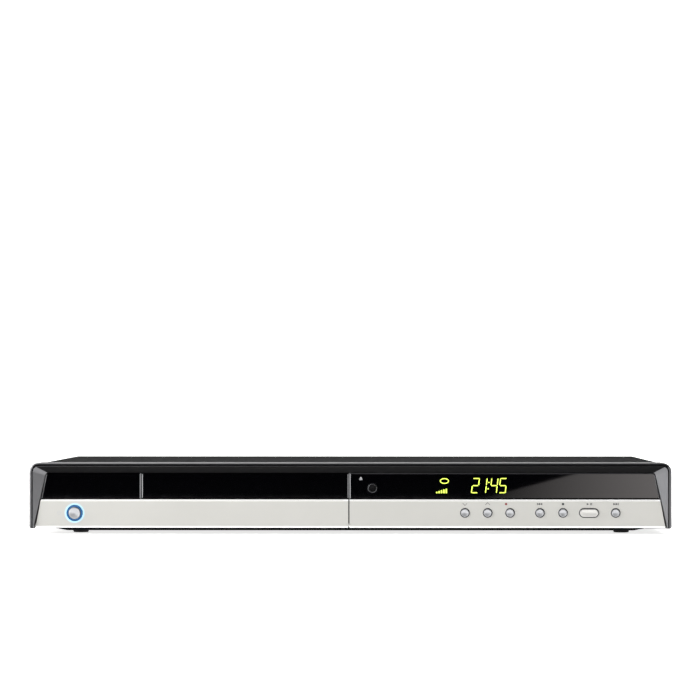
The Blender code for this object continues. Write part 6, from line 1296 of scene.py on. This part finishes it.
@dataclass(frozen=True)
class Boards:
    """Circuit boards with their parts, and the power supply.

    A chip's place is its share of the main board's free part, then its width and depth. The other places are
    measured from a corner of the board.
    """

    board_left: float = 8 * MM
    chips: tuple[tuple[float, float, float, float], ...] = (
        (0.67, 0.28, 16 * MM, 16 * MM),
        (0.27, 0.22, 18 * MM, 12 * MM),
        (0.27, 0.42, 18 * MM, 12 * MM),
        (0.72, 0.52, 22 * MM, 10 * MM),
        (0.62, 0.72, 14 * MM, 14 * MM),
    )
    chip_height: float = 1.8 * MM
    chip_edge: float = 0.25 * MM
    can: Point = (3 * MM, 3 * MM, 8 * MM)
    can_place: Flat = (-20 * MM, 41 * MM)
    can_count: tuple[int, int] = (2, 6)
    can_pitch: Flat = (9 * MM, 11 * MM)
    resistor: Point = (1.2 * MM, 2.2 * MM, 0.7 * MM)
    resistor_place: Flat = (92 * MM, 81 * MM)
    resistor_count: tuple[int, int] = (14, 4)
    resistor_pitch: Flat = (4.6 * MM, 5.2 * MM)
    fin: Point = (1 * MM, 26 * MM, 20 * MM)
    fin_place: Flat = (10 * MM, -57 * MM)
    fin_pitch: float = 3 * MM
    fin_count: int = 5
    sink_height: float = 2.2 * MM
    sink_edge: float = 0.2 * MM
    big_can: Point = (4 * MM, 4 * MM, 14 * MM)
    big_can_place: Flat = (46 * MM, -69 * MM)
    big_can_pitch: float = 10 * MM
    yoke_half: float = 5 * MM
    yoke_rise: Flat = (-0.5 * MM, 0.3 * MM)

    def build(self) -> None:
        """Dresses the boards and sets small parts on them."""
        coat(SOLDER_MASK, "main_board", "power_board", "front_board", "front_jack_board")
        coat(TUBE_GLASS, "display_tube")
        coat(AMBER_TAPE, "transformer")
        coat(SLEEVE, "smoothing_capacitor")
        coat(RIBBON_VINYL, "drive_ribbon")
        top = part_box("power_board")[1].z
        self.main_parts(top)
        self.power_parts(top)
        self.ferrite_core()

    def main_parts(self, top: float) -> None:
        """Sets chips, capacitors and resistors on the main board.

        Args:
            top: height of the boards' upper face.
        """
        low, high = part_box("main_board")
        left, front = self.board_left, low.y
        chips = bmesh.new()
        for across, along, wide, deep in self.chips:
            x, y = left + (high.x - left) * across, front + (high.y - front) * along
            near, far = (x - wide / 2, y - deep / 2, top), (x + wide / 2, y + deep / 2, top + self.chip_height)
            add_block(chips, near, far, self.chip_edge)
        dress(from_bmesh("main_board_chips", chips), "case", CHIP_EPOXY, "black_plastic")
        centre = (high.x + self.can_place[0], front + self.can_place[1], top + self.can[2] / 2)
        cans = Row("main_board_capacitors", Unit.ROD, self.can, centre, self.can_count, self.can_pitch)
        cans.place("case", SLEEVE, "black_plastic")
        centre = (left + self.resistor_place[0], front + self.resistor_place[1], top + self.resistor[2] / 2)
        small = Row(
            "main_board_resistors", Unit.BLOCK, self.resistor, centre, self.resistor_count, self.resistor_pitch
        )
        small.place("case", CHIP_EPOXY, "black_plastic")

    def power_parts(self, top: float) -> None:
        """Sets the finned heatsink and the capacitors on the power board.

        Args:
            top: height of the boards' upper face.
        """
        low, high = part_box("power_board")
        x, y = low.x + self.fin_place[0], high.y + self.fin_place[1]
        centre = (x, y, top + self.sink_height - THIN + self.fin[2] / 2)
        fins = Row(
            "power_heatsink_fins", Unit.BLOCK, self.fin, centre, (self.fin_count, 1), (self.fin_pitch, 0.0)
        )
        fins.place("case", ZINC_SHEET, "zinc_steel")
        half, deep = self.fin_pitch * self.fin_count / 2, self.fin[1] / 2
        base = bmesh.new()
        near, far = (x - half, y - deep, top), (x + half, y + deep, top + self.sink_height)
        add_block(base, near, far, self.sink_edge)
        dress(from_bmesh("power_heatsink_base", base), "case", ZINC_SHEET, "zinc_steel")
        centre = (low.x + self.big_can_place[0], high.y + self.big_can_place[1], top + self.big_can[2] / 2)
        pitch = (self.big_can_pitch, self.big_can_pitch)
        cans = Row("power_board_capacitors", Unit.ROD, self.big_can, centre, (2, 2), pitch)
        cans.place("case", SLEEVE, "black_plastic")

    def ferrite_core(self) -> None:
        """Lays the yoke of the pressed core over the transformer's winding."""
        (low, high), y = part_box("transformer"), middle("transformer").y
        near, far = [
            (x, y + side * self.yoke_half, high.z + rise)
            for x, side, rise in zip((low.x, high.x), (-1, 1), self.yoke_rise)
        ]
        core = bmesh.new()
        add_block(core, near, far, self.chip_edge)
        dress(from_bmesh("transformer_core_yoke", core), "case", FERRITE, "copper_winding")


@dataclass(frozen=True)
class DiscDrive:
    """The drive's frame, tray, gears, traverse, pickup and clamp."""

    lens_radius: float = 1.9 * MM
    lens_skirt: float = 0.3 * MM
    mat: Flat = (9.0 * MM, 14.2 * MM)
    mat_height: float = 0.3 * MM
    mat_edge: float = 0.2 * MM

    def build(self) -> None:
        """Dresses every piece of the drive and adds the lens and the mat."""
        coat(BLACK_NYLON, "loader_frame", "tray_drawer", "turntable", "pickup_sled")
        coat(NATURAL_ACETAL, "tray_gear", "belt_gear", "motor_pulley", "cam_slider", "clamper")
        coat(BARE_STEEL, "guide_rod_left", "guide_rod_right", "lead_screw")
        coat(ZINC_SHEET, "loading_motor", "spindle_motor", "feed_motor")
        coat(FOOT_RUBBER, "drive_belt")
        self.lens()
        self.mat_ring()

    def lens(self) -> None:
        """Sets the coated lens on the pickup."""
        low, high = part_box("pickup_sled")
        centre = (middle("tray_drawer").x, (low.y + high.y) / 2, high.z)
        radius, skirt = self.lens_radius, self.lens_skirt
        profile = [(0.0, skirt), (radius * 0.55, skirt * 0.8), (radius, 0.0), (radius, -skirt), (0.0, -skirt)]
        dress(lathe("pickup_lens_glass", profile, centre, "Z", 32), "pickup", LENS_GLASS, "black_plastic")

    def mat_ring(self) -> None:
        """Lays the rubber mat on which the disc rests on the turntable."""
        centre = middle("turntable")
        inner, outer = self.mat
        beyond = inner + MM
        rim = max(p.z for p in vertices("turntable") if math.hypot(p.x - centre.x, p.y - centre.y) > beyond)
        top = rim + self.mat_height
        profile = [(inner, top), (outer - self.mat_edge, top), (outer, rim), (inner, rim)]
        ring = lathe("turntable_mat", profile, (centre.x, centre.y, 0.0), "Z", 48)
        dress(ring, "turntable_body", FOOT_RUBBER, "rubber")


@dataclass(frozen=True)
class Softbox:
    """A square lamp: where it hangs, the point that it faces, its side in metres and its power in watts."""

    name: str
    at: Point
    to: Point
    size: float
    power: float

    def hang(self) -> None:
        """Puts the lamp into the scene."""
        data = bpy.data.lights.new(self.name, "AREA")
        data.size = self.size
        data.energy = self.power
        light = bpy.data.objects.new(self.name, data)
        bpy.context.scene.collection.objects.link(light)
        light.location = self.at
        light.rotation_euler = (Vector(self.to) - Vector(self.at)).to_track_quat("-Z", "Y").to_euler()


@dataclass(frozen=True)
class Studio:
    """A pale floor, soft light and the camera at the photograph's place, in metres unless it says otherwise."""

    distance: float = 2.12
    camera_x: float = 27 * MM
    camera_z: float = 92.4 * MM
    lens: float = 162.9
    pitch: float = 0.841 * DEGREE
    yaw: float = 0.73 * DEGREE
    sky_power: float = 0.25
    floor_half: float = 5.0
    floor_near: float = -6.0
    floor_depth: float = 2.4
    floor_bend: float = 1.2
    floor_rise: float = 4.0
    card_y: float = -0.827
    card: tuple[Flat, ...] = ((0.107, 0.001), (0.34, 0.001), (0.34, 0.034), (0.2312, 0.034))
    flag: tuple[Flat, ...] = ((-0.34, 0.001), (0.107, 0.001), (0.2312, 0.034), (-0.34, 0.034))
    card_light: Flat = (0.0, 4.4)

    def build(self) -> None:
        """Makes the floor, the lights, the sky, the reflected card and the camera."""
        scene = bpy.context.scene
        scene.view_settings.view_transform = "Standard"
        front = CAD_BOX[0][1]
        data = bpy.data.cameras.new("photo_camera")
        data.sensor_width = 36.0
        data.lens = self.lens
        data.clip_end = 100.0
        camera = bpy.data.objects.new("photo_camera", data)
        scene.collection.objects.link(camera)
        camera.location = (self.camera_x, front - self.distance, self.camera_z)
        camera.rotation_euler = (QUARTER + self.pitch, 0.0, self.yaw)
        scene.camera = camera
        self.floor()
        world = bpy.data.worlds.new("studio_white")
        world.use_nodes = True
        sky = world.node_tree.nodes["Background"].inputs
        sky["Color"].default_value = linear("#ffffff")
        sky["Strength"].default_value = self.sky_power
        scene.world = world
        self.reflected_card()
        for lamp in (
            Softbox("key_softbox", at=(-0.9, front - 1.6, 2.2), to=(0.0, 0.0, 0.02), size=1.6, power=15.0),
            Softbox("top_softbox", at=(0.2, 0.5, 2.4), to=(0.0, 0.0, 0.0), size=2.4, power=50.0),
            Softbox("left_softbox", at=(-2.0, front - 0.9, 0.85), to=(0.2, front, 0.02), size=1.6, power=74.0),
            Softbox("right_softbox", at=(2.0, front - 0.9, 0.85), to=(-0.2, front, 0.02), size=1.6, power=0.3),
        ):
            lamp.hang()

    def reflected_card(self) -> None:
        """Hangs a black flag and, beside it, a pale card whose slanted edge the polished window shows.

        Only reflections see them.
        """
        corners = upright(self.card + self.flag, self.card_y)
        count = len(self.card)
        mesh = bpy.data.meshes.new("reflected_card")
        mesh.from_pydata(corners, [], [tuple(range(count)), tuple(range(count, len(corners)))])
        card = piece_of("reflected_card", mesh)
        material, tree = blank("pale_card_lit")
        power = remap(tree, split(tree)[0], self.card[0][0], self.card[1][0], *self.card_light)
        end(tree, add_node(tree, "ShaderNodeEmission", {"Color": linear("#fff8f6"), "Strength": power}))
        mesh.materials.append(material)
        mesh.materials.append(BLACK_VELVET.make())
        mesh.polygons[1].material_index = 1
        for sight in ("camera", "diffuse", "shadow", "transmission"):
            setattr(card, "visible_" + sight, False)

    def floor(self) -> None:
        """Lays one wide pale sheet that rises behind the recorder."""
        depth, radius, half = self.floor_depth, self.floor_bend, self.floor_half
        path = [(self.floor_near, 0.0), (depth, 0.0)]
        for angle in [QUARTER * i / 12 for i in range(1, 13)]:
            path.append((depth + radius * math.sin(angle), radius - radius * math.cos(angle)))
        path.append((depth + radius, self.floor_rise))
        shape = bmesh.new()
        rows = [[shape.verts.new((x, y, z)) for x in (-half, half)] for y, z in path]
        for near, far in zip(rows, rows[1:]):
            shape.faces.new((near[0], near[1], far[1], far[0]))
        mesh = bpy.data.meshes.new("studio_floor")
        shape.to_mesh(mesh)
        shape.free()
        mesh.shade_smooth()
        mesh.materials.append(BACKDROP_PAPER.make())
        piece_of("studio_floor", mesh)


def main() -> None:
    """Builds the studio and every part of the recorder."""
    logging.basicConfig(level=logging.INFO, format="%(message)s")
    for part in (Studio(), CaseMetal(), Fascia(), RearSockets(), Boards(), DiscDrive()):
        part.build()


if __name__ == "__main__":
    main()
